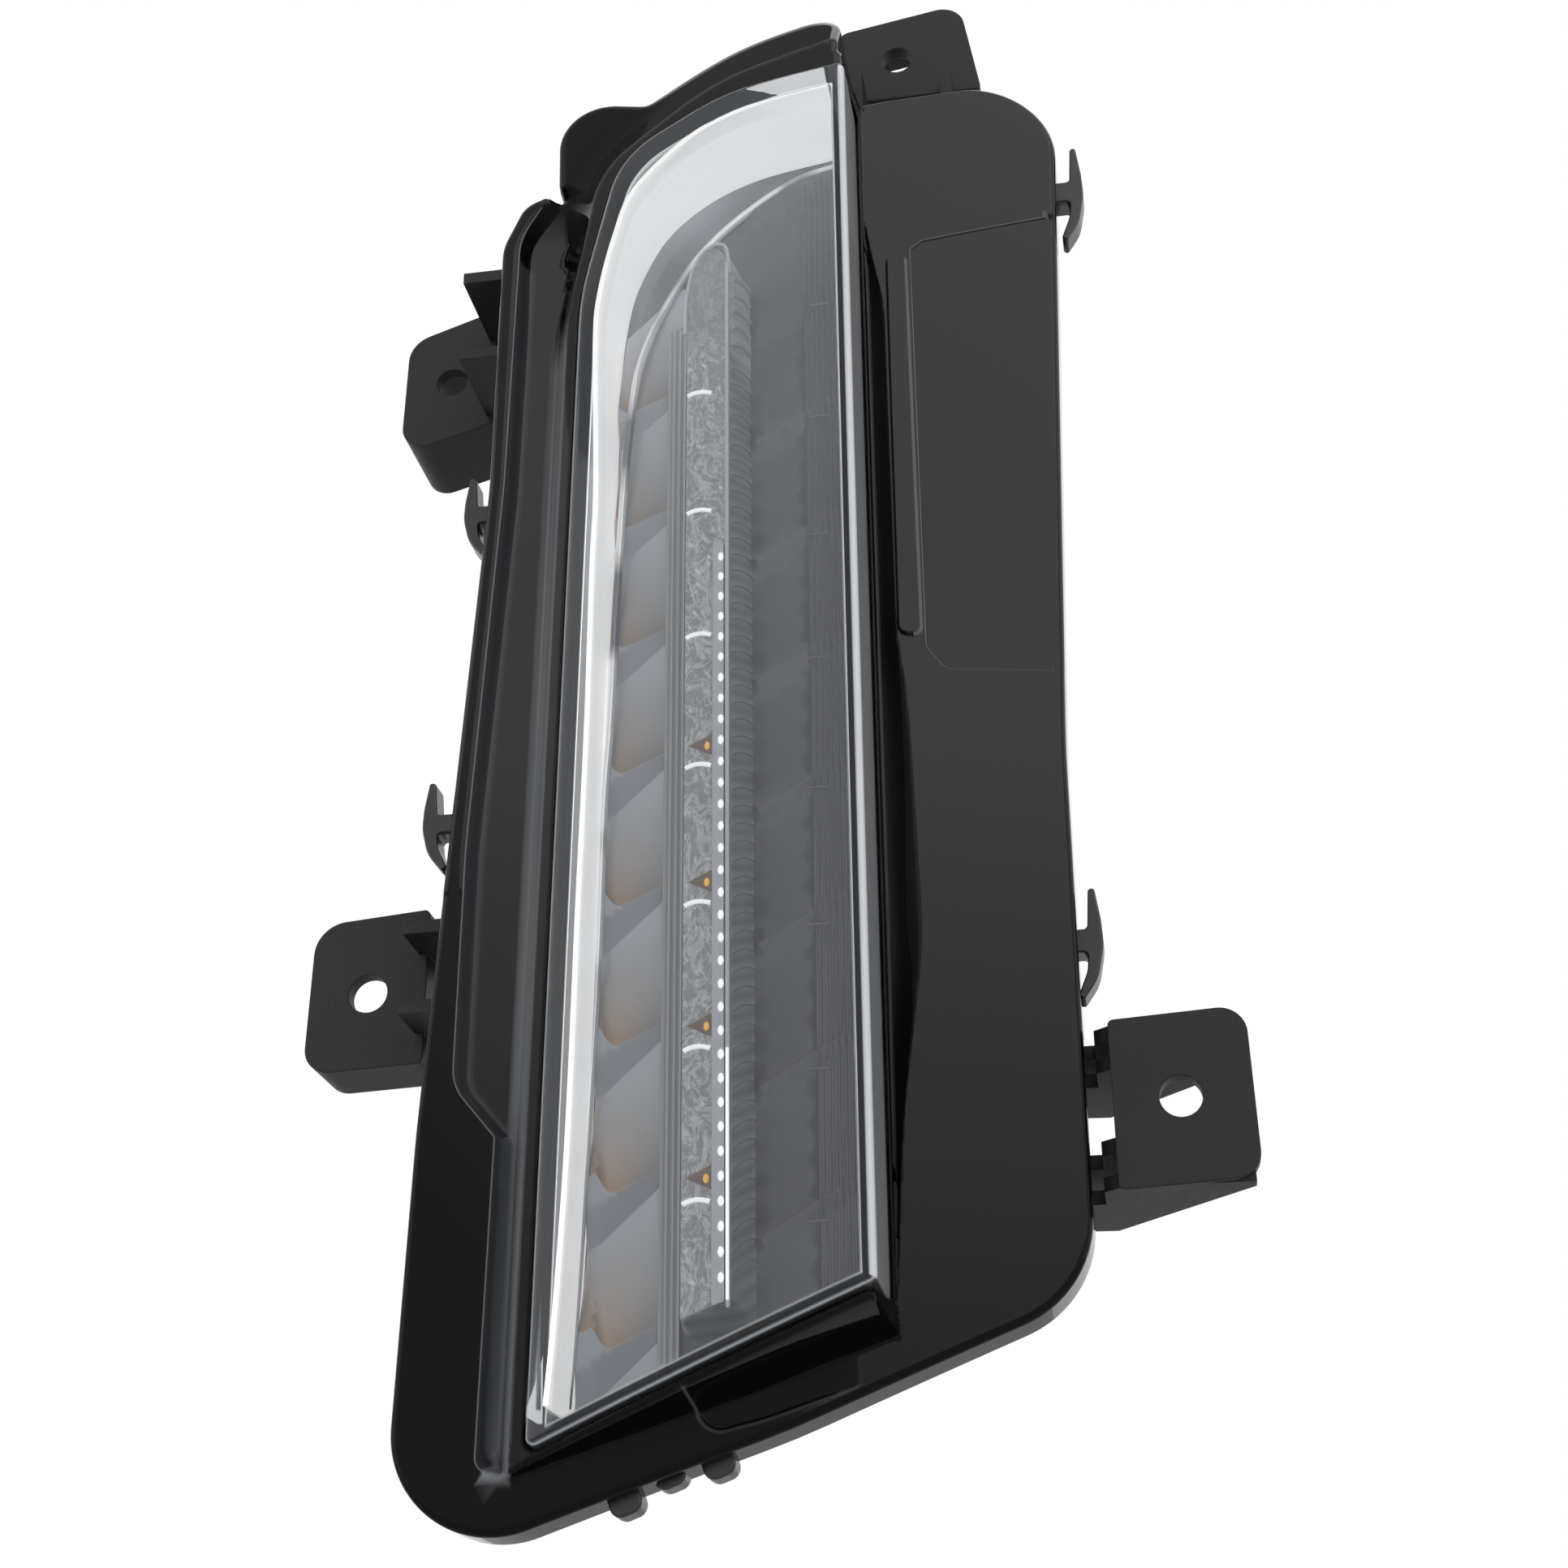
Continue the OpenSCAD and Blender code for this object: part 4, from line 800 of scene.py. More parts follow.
def band_mesh():
    """The white band: a wall that leans from the lens's edge down to the reflector."""
    count = 150
    front, deep = smooth_path(BAND_FRONT, count), smooth_path(BAND_DEEP, count)
    sections = []
    for i in range(count):
        along = unit(deep[min(count - 1, i + 1)] - deep[max(0, i - 1)])
        out = np.array([along[1], -along[0]])
        rows = []
        for t in np.linspace(0, 1, 6):
            flat = front[i] + (deep[i] - front[i]) * t + out * 0.35 * math.sin(math.pi * t)
            rows.append((flat[0], BAND_Y + BAND_DEPTH * t, flat[1]))
        for t in (1, 0):
            flat = front[i] + (deep[i] - front[i]) * t + out * 0.9
            rows.append((flat[0], BAND_Y + BAND_DEPTH * t, flat[1]))
        sections.append(np.array(rows))
    return loft("white_band", sections)


def step_height(x):
    """How tall the slanted step between two cells is at x."""
    return 1.3 + 4.4 * np.clip((-20.0 - x) / 11.0, 0, 1.15)


def foot_bend(x):
    """How far a cell's rounded lower left corner rises over its straight lower edge."""
    return 2.6 * np.clip((-29.6 - x) / 2.4, 0, 1.4) ** 2


def up_the_cell(p):
    """0 at a cell's foot to 1 at its top; above 1 on the step over it, below 0 under its rounded corner."""
    x, z = p[:, 0], p[:, 1]
    pitch = mm(sizes().cell_pitch)
    x0, z0, slope = CELL_FOOT
    low = z0 + slope * (x - x0) - z
    above = np.ceil(low / pitch) * pitch - low
    bend, strip = foot_bend(x), step_height(x)
    up = (above - bend) / (pitch - strip - bend)
    return np.where(up > 1, 1 + (above - pitch + strip) / strip, up)


def cell_height(p):
    """Y over the reflector: each cell scoops forward towards its foot, and a slanted step leads to the next."""
    up = up_the_cell(p)
    step = 0.5 + 0.4 * (step_height(p[:, 0]) - 1.3)
    scoop = np.where(up > 1, up - 1, (1 - np.clip(up, 0, 1)) ** 1.6)
    return FLOOR_Y - 0.2 - step * np.clip(scoop, 0, 1)


def cell_mark(p):
    """0 to 1 up a cell's face, 2 on the step between two cells."""
    up = up_the_cell(p)
    return np.where((up > 1) | (up < 0), 2.0, up)


def reflector_mesh():
    deep = smooth_path(BAND_DEEP, 60)
    side = [(x + 0.2, z, 0) for x, z in deep if z <= 106]
    corners = [(-19.7, -96.6, 0.3), (-19.7, 113.6, 0.3)] + side
    pitch = mm(sizes().cell_pitch)
    x0, z0, slope = CELL_FOOT
    x = np.arange(-38.0, -18.0, 0.6)
    lines = []
    for i in range(-1, CELLS + 1):
        foot = z0 - i * pitch + slope * (x - x0)
        lines += [np.stack([x, foot + foot_bend(x) + d], axis=1) for d in (0.06, -0.06)]
        lines += [np.stack([x, foot - step_height(x) + d], axis=1) for d in (0.06, -0.06)]
    return slab("reflector_cells", corners, cell_height, 12.0, 1.2, lines, cell_mark)


def cove_mesh():
    """The bright sweep between the white band and the bead at the top corner."""
    count = 110
    deep, trim = smooth_path(BAND_DEEP, 400), smooth_path(TRIM_LINE, 400)
    deep, trim = deep[deep[:, 1] > 60], trim[trim[:, 1] > 60]
    deep, trim = (np.stack([np.interp(np.linspace(0, len(line) - 1, count), np.arange(len(line)), line[:, i])
                            for i in (0, 1)], axis=1) for line in (deep, trim))
    sections = []
    for a, b in zip(deep, trim):
        rows = [(*(a + (b - a) * t), 10.3 - 0.2 * t + 1.1 * math.sin(math.pi * t)) for t in np.linspace(0, 1, 9)]
        rows += [(*b, COVE_BACK_Y), (*a, COVE_BACK_Y)]
        sections.append(np.array(rows)[:, [0, 2, 1]])
    return loft("reflector_cove", sections)


def flange_wave(p):
    return np.cos((p[:, 0] + 22.6) * 2 * math.pi / FLUTE_PITCH)


def flange_mesh():
    """The clear flange left of the bar: three soft flutes along it."""
    corners = [(-22.7, -97.5, 0.2), (-19.2, -96.4, 0.2), (-19.2, 104.0, 1.2), (-22.7, 101.5, 1.2)]
    z = np.linspace(-97, 103, 100)
    lines = [np.stack([np.full(100, x), z], axis=1) for x in np.arange(-22.3, -19.3, 0.275)]
    # The mark is 1 on the flutes' crests, where the finish paints a highlight
    return slab("bar_flange", corners, lambda p: 8.6 - 0.35 * flange_wave(p), 9.9, 2.0, lines,
                lambda p: 0.5 + 0.5 * flange_wave(p), round_off=0.15)


def inner_bezel_height(p):
    x, z = p[:, 0], p[:, 1]
    pitch = mm(sizes().cell_pitch)
    x0, z0, slope = PLATE_STEP
    low = z0 + slope * (x - x0) - z
    t = (np.ceil(low / pitch) * pitch - low) / pitch
    y = FLOOR_Y - 1.3 * np.where(t > 0.9, (t - 0.9) / 0.1, 1 - t / 0.9) * ramp((x + 8) / 2)
    return y - 0.28 * flute_mark(p)


def flute_mark(p):
    """1 on the fine upright lines at the plate's right."""
    x = p[:, 0]
    off = np.abs(((x - FLUTE_LEFT) / FLUTE_PITCH) % 1.0 - 0.5) * 2
    return np.clip(1 - off * 3.0, 0, 1) * (x > FLUTE_LEFT) * (x < FLUTE_RIGHT)


def inner_bezel_mesh():
    trim = smooth_path(TRIM_LINE, 60)
    top = [(x + 0.3, z - 0.3, 0) for x, z in trim if z > 100 and x < 11.2]
    corners = [(-20.2, 98.0, 0), (-19.4, 98.0, 0), (-19.4, -96.8, 0), (11.7, -84.0, 0.3), (11.7, 137.4, 0.3), *top]
    pitch = mm(sizes().cell_pitch)
    lines = []
    for i in range(-2, CELLS + 1):
        for d in (0.0, pitch * 0.1):
            z0 = PLATE_STEP[1] - i * pitch - d
            lines.append(open_line([(-8.5, z0 - 1.14), (12.0, z0 + 11.16)], 0.8))
    for k in range(6):
        for d in (-0.18, 0.0, 0.18):
            x = FLUTE_LEFT + FLUTE_PITCH * (k + 0.5) + d
            lines.append(open_line([(x, -100.0), (x, 140.0)], 2.0))
    return slab("inner_bezel_plate", corners, inner_bezel_height, 12.0, 3.0, lines, flute_mark)


def bar_mesh():
    """The clear bar: a front with an arched top, and flanks that widen towards the board."""
    sections, marks = [], []
    for y, d, mark in BAR_LEVELS:
        flat = ring(BAR_OUTLINE, d)
        sections.append(in_space(flat, y))
        marks.append(mark)
    return loft("light_bar_body", sections, marks)


def rail_mesh():
    """The guide's clear rail on the bar's front, which carries the row of prisms."""
    left, right = RAIL_X
    corners = [(left, -89.6, 0.3), (right, -88.9, 0.3), (right, 46.0, 0.6), (left, 46.0, 0.6)]
    return slab("guide_rail", corners, level(-5.1), BAR_FRONT, 3.0, round_off=0.2)


def edge_strip_mesh():
    """The pale edge of the bar between the guide and the flank."""
    corners = [(-9.3, -90.0, 0.2), (-8.6, -89.7, 0.2), (-8.6, 106.5, 0.3), (-9.3, 107.5, 0.3)]
    return slab("bar_edge", corners, level(-4.9), -3.7, 3.0, round_off=0.12)


# Node trees

def rgba(value):
    return (value[0], value[1], value[2], 1.0)


def feed(tree, slot, value):
    """Links a Val to a socket, or sets any other value on it."""
    if isinstance(value, Val):
        tree.links.new(value.socket, slot)
    else:
        slot.default_value = value


def both_ways(operation):
    """An operator that adds a Math node, and its reflected form."""
    return (lambda self, other: self.math(operation, self, other),
            lambda self, other: self.math(operation, other, self))


class Val:
    """A socket that takes part in sums: every operator adds the Math node it stands for."""

    def __init__(self, tree, socket):
        self.tree, self.socket = tree, socket

    def math(self, operation, *values):
        node = self.tree.nodes.new("ShaderNodeMath")
        node.operation = operation
        for slot, value in zip(node.inputs, values):
            feed(self.tree, slot, value)
        return Val(self.tree, node.outputs[0])

    __add__, __radd__ = both_ways("ADD")
    __sub__, __rsub__ = both_ways("SUBTRACT")
    __mul__, __rmul__ = both_ways("MULTIPLY")
    __truediv__, __rtruediv__ = both_ways("DIVIDE")
    __pow__, __rpow__ = both_ways("POWER")
    __mod__, __rmod__ = both_ways("FLOORED_MODULO")

    def __abs__(self):
        return self.math("ABSOLUTE", self)

    def clamped(self):
        node = self.tree.nodes.new("ShaderNodeClamp")
        self.tree.links.new(self.socket, node.inputs[0])
        return Val(self.tree, node.outputs[0])


class Tree:
    """A node tree and the one method that adds any node to it."""

    def __init__(self, tree):
        self.tree = tree

    def node(self, kind, settings=None, **inputs):
        """A node with its settings made first, then its sockets' values or links."""
        node = self.tree.nodes.new(kind)
        for key, value in (settings or {}).items():
            setattr(node, key, value)
        for key, value in inputs.items():
            slot = next(s for s in node.inputs if s.name.replace(" ", "") == key and s.enabled)
            feed(self.tree, slot, value)
        return node

    def val(self, kind, output=0, settings=None, **inputs):
        return Val(self.tree, self.node(kind, settings, **inputs).outputs[output])

    def blend(self, factor, a, b):
        """Shader a where factor is 0 and b where it is 1."""
        node = self.tree.nodes.new("ShaderNodeMixShader")
        for slot, value in zip(node.inputs, (factor, a, b)):
            self.tree.links.new(value.socket, slot)
        return Val(self.tree, node.outputs[0])


class Finish(Tree):
    """One material and the few nodes it needs."""

    def __init__(self, name):
        self.material = bpy.data.materials.new(name)
        self.material.use_nodes = True
        super().__init__(self.material.node_tree)
        self.tree.nodes.clear()

    def coords(self):
        return self.val("ShaderNodeTexCoord", 3)

    def axes(self):
        """X, Y and Z in the outlines' millimetres."""
        node = self.node("ShaderNodeSeparateXYZ", Vector=self.coords())
        return [Val(self.tree, node.outputs[i]) * 1000.0 + float(EAR_HOLE[i]) for i in range(3)]

    def noise(self, scale, detail=2.0, rough=0.5, stretch=None, distortion=0.0):
        """Noise whose scale is in lumps to the metre."""
        where = self.coords()
        if stretch:
            where = self.val("ShaderNodeMapping", Vector=where, Scale=stretch)
        return self.val("ShaderNodeTexNoise", Vector=where, Scale=scale, Detail=detail, Roughness=rough,
                        Distortion=distortion)

    def mark(self):
        return self.val("ShaderNodeAttribute", 2, {"attribute_name": "mark"})

    def mix(self, factor, a, b):
        """Colour a where factor is 0 and b where it is 1."""
        node = self.tree.nodes.new("ShaderNodeMix")
        node.data_type = "RGBA"
        for slot, value in ((node.inputs[0], factor), (node.inputs[6], a), (node.inputs[7], b)):
            feed(self.tree, slot, rgba(value) if isinstance(value, tuple) else value)
        return Val(self.tree, node.outputs[2])

    def bump(self, height, distance, strength=1.0, normal=None):
        """Normal bent by a height of 0 to 1 that stands for distance metres."""
        extra = {} if normal is None else {"Normal": normal}
        return self.val("ShaderNodeBump", Height=height, Distance=distance, Strength=strength, **extra)

    def principled(self, **inputs):
        return self.val("ShaderNodeBsdfPrincipled", **inputs)

    def done(self, shader):
        out = self.node("ShaderNodeOutputMaterial")
        self.tree.links.new(shader.socket, out.inputs[0])
        return self.material


# Finishes

def gloss_black():
    f = Finish("gloss_black")
    dust = f.noise(2600, 1.0)
    ripple = f.noise(28, 1.0)
    edge = f.mark().clamped()
    # Painted highlight: the marked fine edges are mixed from black towards a light grey
    base = f.mix(edge, tuple(colours().bezel), tuple(colours().bezel_painted_highlight))
    rough = (dust - 0.62).clamped() * 0.5 + 0.035 + edge * 0.2
    x, _, z = f.axes()
    soft = f.bump(ripple, 0.0004, 0.05)
    # Painted shade: the gloss reflects less towards the bottom and the left
    upper, lower = (f.principled(BaseColor=base, Roughness=rough, IOR=1.5, SpecularIORLevel=shine, Normal=soft)
                    for shine in (0.25, 0.1))
    gloss_with_painted_shade = f.blend(((10.0 - z) / 110.0).clamped() + ((-30.0 - x) / 30.0).clamped() * 0.3, upper, lower)
    # Painted shade: where the mark is below 0, on the rim's top flank, a dark matt stand-in without gloss replaces
    # the black gloss
    painted_shade_flank = f.principled(BaseColor=rgba((0.02, 0.02, 0.021)), Roughness=0.5, IOR=1.0)
    return f.done(f.blend((0.0 - f.mark()).clamped(), gloss_with_painted_shade, painted_shade_flank))


def matt_black():
    f = Finish("matt_black")
    grain = f.noise(1500, 3.0, 0.6)
    cloud = f.noise(60, 3.0, 0.6)
    dark = tuple(colours().housing)
    base = f.mix((cloud * 1.4 - 0.2).clamped(), dark, tuple(1.5 * c for c in dark))
    soft = f.val("ShaderNodeBevel", 0, {"samples": 4}, Radius=0.0005)
    return f.done(f.principled(BaseColor=base, Roughness=grain * 0.2 + 0.42, SpecularIORLevel=0.3,
                               Normal=f.bump(grain, 0.00012, 0.5, soft)))


def plain_finish(name, base, rough, metal=0.0, vary=0.15, scale=400, bump=0.00005, glow=0.0):
    """A plain finish with a little life in its colour, gloss and surface; a glow above 0 makes its colour shine as
    painted light.
    """
    f = Finish(name)
    lump = f.noise(scale, 3.0, 0.6)
    fine = f.noise(scale * 5, 2.0)
    low = tuple(c * (1 - vary) for c in base)
    high = tuple(min(1, c * (1 + vary)) for c in base)
    tone = f.mix(lump, low, high)
    painted_glow = {"EmissionColor": rgba(base), "EmissionStrength": glow} if glow else {}
    return f.done(f.principled(BaseColor=tone, Roughness=fine * 0.12 + rough - 0.06, Metallic=metal,
                               Normal=f.bump(fine, bump, 0.4), **painted_glow))


def clear_plastic():
    """Clear moulding: see-through with the mirror share its angle gives, and a painted white highlight along marked
    edges.
    """
    f = Finish("clear_lens")
    fresnel = f.val("ShaderNodeFresnel", IOR=1.45)
    clear = f.val("ShaderNodeBsdfTransparent", Color=rgba((0.975, 0.98, 0.985)))
    gloss = f.val("ShaderNodeBsdfGlossy", Color=rgba((0.95, 0.97, 1.0)), Roughness=0.03)
    white = f.principled(BaseColor=rgba((0.86, 0.88, 0.92)), Roughness=0.3)
    body = f.blend(fresnel, clear, gloss)
    # Painted highlight: the marked edges turn white
    return f.done(f.blend((f.mark() * 0.8).clamped(), body, white))


def reflector_metal():
    """Satin plating whose colour is painted reflection: pale at a cell's top, darker at its foot, with a painted
    amber reflection at its lower left, and pale on the step.
    """
    f = Finish("reflector_metal")
    c = colours()
    mark = f.mark()
    x, _, z = f.axes()
    # Painted amber reflection, strongest at the lower left of the lower cells
    left = ((-24.0 - x) / 6.0).clamped()
    lower = ((90.0 - z) / 150.0).clamped() * 0.5 + 0.5
    foot = f.mix((left * lower).clamped(), tuple(c.cell_foot), tuple(c.cell_painted_amber_reflection))
    rise = (mark * 1.15 - 0.05).clamped() ** 0.75
    tone = f.mix(rise, foot, tuple(c.cell_top_painted_reflection))
    tone = f.mix(((mark - 1.1) * 4.0).clamped(), tone, tuple(c.cell_step_painted_reflection))
    return f.done(f.principled(BaseColor=tone, Roughness=0.36, Metallic=0.2,
                               Normal=f.bump(f.noise(300, 2.0), 0.00003, 0.3)))


def bright_cove():
    f = Finish("cove_metal_painted_reflection")
    flow_and_painted_reflection = f.noise(55, 1.0, 0.4, (1.0, 1.0, 0.35))
    # Painted reflection: light and dark streaks along the cove
    tone = f.mix(((flow_and_painted_reflection - 0.38) * 4.0).clamped(), (0.05, 0.055, 0.065), (0.27, 0.28, 0.31))
    return f.done(f.principled(BaseColor=tone, Roughness=0.3, Metallic=0.0, Normal=f.bump(flow_and_painted_reflection, 0.0006, 0.5)))


def chrome_bead_painted_reflection():
    """Bright plating whose colour is painted reflection, light and dark in turn along the bead, over waves in its
    surface.
    """
    f = Finish("chrome_bead_painted_reflection")
    wave_and_painted_reflection = f.noise(90, 1.0, 0.5, (1.0, 1.0, 0.6))
    tone = f.mix(((wave_and_painted_reflection - 0.36) * 6.0).clamped(), (0.14, 0.145, 0.16), (0.9, 0.9, 0.92))
    return f.done(f.principled(BaseColor=tone, Roughness=0.15, Metallic=0.35, Normal=f.bump(wave_and_painted_reflection, 0.0008, 0.6)))


def inner_bezel_plastic():
    f = Finish("dark_grey")
    dark = tuple(colours().inner_bezel)
    cloud = f.noise(35, 1.0)
    x, _, z = f.axes()
    # Darker towards the bottom
    low = ((45.0 - z) / 100.0).clamped()
    base = f.mix(low, tuple(1.06 * c for c in dark), (0.055, 0.0535, 0.0525))
    # Painted shade: each step is lighter towards its top
    up = ((z - x * PLATE_STEP[2] - 79.0) / mm(sizes().cell_pitch)) % 1.0
    base = f.mix(up * 0.4, base, tuple(1.9 * c for c in dark))
    # Darker near the top
    base = f.mix(((z - 86.0) / 18.0).clamped() * 0.85, base, (0.03, 0.031, 0.034))
    # Painted reflection: the fine upright lines are lightened
    base = f.mix(f.mark().clamped() * 0.5, base, (0.2, 0.205, 0.215))
    return f.done(f.principled(BaseColor=base, Roughness=cloud * 0.08 + 0.36,
                               Normal=f.bump(f.noise(300, 1.0), 0.000006, 0.2)))


def bar_texture():
    """Clear moulding with a stippled front whose swirls are painted highlights, and a bluish flank with painted
    light along its ribs, lighter towards the top.
    """
    f = Finish("bar_texture")
    front = f.mark().clamped()
    warp = f.noise(230, 3.0, 0.7, (1.0, 1.0, 0.6), 1.6)
    fine = f.noise(900, 3.0, 0.7, (1.0, 1.0, 0.7), 0.9)
    vein = 1.0 - (abs(warp - 0.52) * 14.0).clamped()
    spark = ((fine - 0.58) * 9.0).clamped()
    # Painted highlight: bright swirls and sparks on the front
    swirl_and_painted_highlight = (vein * 0.42 + spark * 0.5 + (fine - 0.3) * 0.5).clamped()
    _, y, z = f.axes()
    clear = ((z - 84.0) / 10.0).clamped()
    face_tone = f.mix(swirl_and_painted_highlight * (1.0 - clear * 0.6), (0.24, 0.24, 0.235), (0.98, 0.98, 1.0))
    # Painted light: lighter and darker stripes along the flank's ribs, lighter towards the top
    rib = abs(((z - y * 0.42) / 3.3) % 1.0 - 0.5) * 2.0
    flank_tone = f.mix(rib * 0.4 + clear * 0.6, (0.19, 0.192, 0.2), (0.68, 0.7, 0.75))
    tone = f.mix(front, flank_tone, face_tone)
    height = (swirl_and_painted_highlight * 0.7 + fine * 0.3) * front
    return f.done(f.principled(BaseColor=tone, Roughness=0.14, Normal=f.bump(height, 0.0003, 0.6)))


def clear_with_painted_flute_highlights():
    f = Finish("flange_clear")
    # Painted highlight: lighter stripes on the flutes' crests
    tone = f.mix(f.mark().clamped(), (0.3, 0.305, 0.315), (0.52, 0.525, 0.54))
    return f.done(f.principled(BaseColor=tone, Roughness=f.noise(300) * 0.1 + 0.2))


def frame_finishes():
    """The finish of each CAD node that is shown as it is, by material slot."""
    steel = plain_finish("zinc_plated_steel", (0.6, 0.6, 0.62), 0.3, 1.0, 0.1, 900)
    white = plain_finish("white_nylon", (0.8, 0.79, 0.76), 0.45, 0.0, 0.04, 300)
    return {
        "matt_black": matt_black(), "gloss_black": gloss_black(), "screw_steel": steel, "white_plastic": white,
        "seal_rubber": plain_finish("seal_rubber", (0.022, 0.022, 0.022), 0.62, 0.0, 0.25, 500, 0.0001),
        "cast_aluminium": plain_finish("extruded_aluminium", (0.6, 0.61, 0.63), 0.34, 1.0, 0.08, 700, 0.00008),
        "terminal_brass": plain_finish("plated_brass", (0.78, 0.6, 0.28), 0.25, 1.0, 0.08, 900),
        "pad_grey": plain_finish("soft_pad", (0.42, 0.43, 0.47), 0.8, 0.0, 0.08, 600),
        "board_green": plain_finish("solder_mask", (0.045, 0.2, 0.11), 0.35, 0.0, 0.12, 500),
        "chip_black": plain_finish("moulded_chip", (0.025, 0.025, 0.026), 0.55, 0.0, 0.2, 1200),
        "led_white": plain_finish("phosphor_white", (0.92, 0.88, 0.6), 0.3, 0.0, 0.04, 900),
        "led_amber": plain_finish("phosphor_amber", tuple(colours().amber), 0.3, 0.0, 0.04, 900)}


# Placing a finished piece

def piece(mesh, material=None, replace=()):
    """An object at the origin that rides on the lamp's one body."""
    obj = bpy.data.objects.new(mesh.name, mesh)
    bpy.context.scene.collection.objects.link(obj)
    if material:
        mesh.materials.append(material)
    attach(obj, "root")
    if replace:
        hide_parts(*replace)
    return obj


# Geometry Nodes: rows of like shapes, and tubes along a path

SOCKET_KINDS = {int: "NodeSocketInt", float: "NodeSocketFloat", tuple: "NodeSocketVector"}


def grown_mesh(name, source, values, build):
    """Runs a Geometry Nodes tree over a source mesh and gives the result as a plain mesh."""
    group = bpy.data.node_groups.new(name, "GeometryNodeTree")
    group.interface.new_socket("Geometry", in_out="INPUT", socket_type="NodeSocketGeometry")
    ids = {}
    for label, value in values.items():
        socket = group.interface.new_socket(label, in_out="INPUT", socket_type=SOCKET_KINDS[type(value)])
        ids[socket.identifier] = value
    group.interface.new_socket("Geometry", in_out="OUTPUT", socket_type="NodeSocketGeometry")
    tree = Tree(group)
    start, end = tree.node("NodeGroupInput"), tree.node("NodeGroupOutput")
    given = {s.name: Val(group, s) for s in start.outputs if s.name}
    group.links.new(build(tree, given).socket, end.inputs[0])
    obj = bpy.data.objects.new(name, source)
    bpy.context.scene.collection.objects.link(obj)
    modifier = obj.modifiers.new("shape", "NODES")
    modifier.node_group = group
    for identifier, value in ids.items():
        modifier[identifier] = value
    graph = bpy.context.evaluated_depsgraph_get()
    mesh = bpy.data.meshes.new_from_object(obj.evaluated_get(graph), depsgraph=graph)
    obj.modifiers.remove(modifier)
    bpy.data.objects.remove(obj)
    mesh.name = name
    if not len(mesh.polygons):
        raise RuntimeError("nothing was made for " + name)
    return face_out(mesh)


def finished(tree, geometry, material):
    real = tree.val("GeometryNodeRealizeInstances", Geometry=geometry)
    return tree.val("GeometryNodeSetMaterial", Geometry=real, Material=material)


def row(name, shape, count, start, step, material, **extra):
    """count copies of a shape, each a step further on."""
    def build(tree, given):
        line = tree.val("GeometryNodeMeshLine", 0, {"mode": "OFFSET"}, Count=given["Count"],
                        StartLocation=given["Start"], Offset=given["Step"])
        placed = tree.val("GeometryNodeInstanceOnPoints", Points=line, Instance=shape(tree, given))
        return finished(tree, placed, material)

    values = {"Count": count, "Start": start, "Step": step, **extra}
    return grown_mesh(name, bpy.data.meshes.new(name + "_seed"), values, build)


def bead_shape(tree, given):
    """A small rounded prism, sized by the Size input."""
    ball = tree.val("GeometryNodeMeshIcoSphere", Radius=1.0, Subdivisions=2)
    return tree.val("GeometryNodeTransform", Geometry=ball, Scale=given["Size"])


def facet_shape(tree, given):
    """A flat wedge that points to the left, sized by the Size input."""
    wedge = tree.val("GeometryNodeMeshCylinder", Vertices=3, Radius=1.0, Depth=2.0)
    turned_left = tree.val("GeometryNodeTransform", Geometry=wedge, Rotation=(math.pi / 2, math.pi, 0.0))
    return tree.val("GeometryNodeTransform", Geometry=turned_left, Scale=given["Size"])


def arc_shape(tree, given):
    """A thin round bar along an arc through the Middle to the End input."""
    arc = tree.val("GeometryNodeCurveQuadraticBezier", Resolution=10, Start=(0.0, 0.0, 0.0),
                   Middle=given["Middle"], End=given["End"])
    edge = tree.val("GeometryNodeCurvePrimitiveCircle", Resolution=8, Radius=given["Radius"])
    return tree.val("GeometryNodeCurveToMesh", Curve=arc, ProfileCurve=edge, FillCaps=True)


def tube(name, path, radius, material):
    """A round tube along a path of places in millimetres."""
    source = bpy.data.meshes.new(name + "_path")
    source.from_pydata([in_frame(*p) for p in path], [(i, i + 1) for i in range(len(path) - 1)], [])

    def build(tree, given):
        line = tree.val("GeometryNodeMeshToCurve", Mesh=given["Geometry"])
        edge = tree.val("GeometryNodeCurvePrimitiveCircle", Resolution=12, Radius=given["Radius"])
        body = tree.val("GeometryNodeCurveToMesh", Curve=line, ProfileCurve=edge, FillCaps=True)
        return finished(tree, body, material)

    return grown_mesh(name, source, {"Radius": radius}, build)


# Operators

class LAMP_OT_bezel(Operator):
    """Make the gloss black bezel with its rim, pocket, panel and channel"""

    bl_idname = "lamp.bezel"
    bl_label = "Bezel"

    def execute(self, context):
        piece(bezel_mesh(), gloss_black(), replace=["front_bezel"])
        return {"FINISHED"}


class LAMP_OT_clips(Operator):
    """Make the four side clips and the three tongues under the bezel's foot"""

    bl_idname = "lamp.clips"
    bl_label = "Clips and tongues"

    def execute(self, context):
        clip_black = plain_finish("clip_black", (0.012, 0.012, 0.0125), 0.32, 0.0, 0.2, 500)
        for number in range(len(CLIPS)):
            piece(clip_mesh(number), clip_black)
        for number in range(3):
            piece(tongue_mesh(number), clip_black)
        return {"FINISHED"}


class LAMP_OT_lens(Operator):
    """Make the clear cover"""

    bl_idname = "lamp.lens"
    bl_label = "Lens"

    def execute(self, context):
        piece(lens_mesh(), clear_plastic(), replace=["outer_lens"])
        return {"FINISHED"}


class LAMP_OT_white_band(Operator):
    """Make the white band inside the lens"""

    bl_idname = "lamp.white_band"
    bl_label = "White band"

    def execute(self, context):
        # Painted light: the white band also glows a little, in place of light that reaches it
        finish = plain_finish("satin_white_painted_glow", tuple(colours().band), 0.35, 0.0, 0.02, 60, 0.00002, 0.52)
        piece(band_mesh(), finish, replace=["white_surround"])
        return {"FINISHED"}


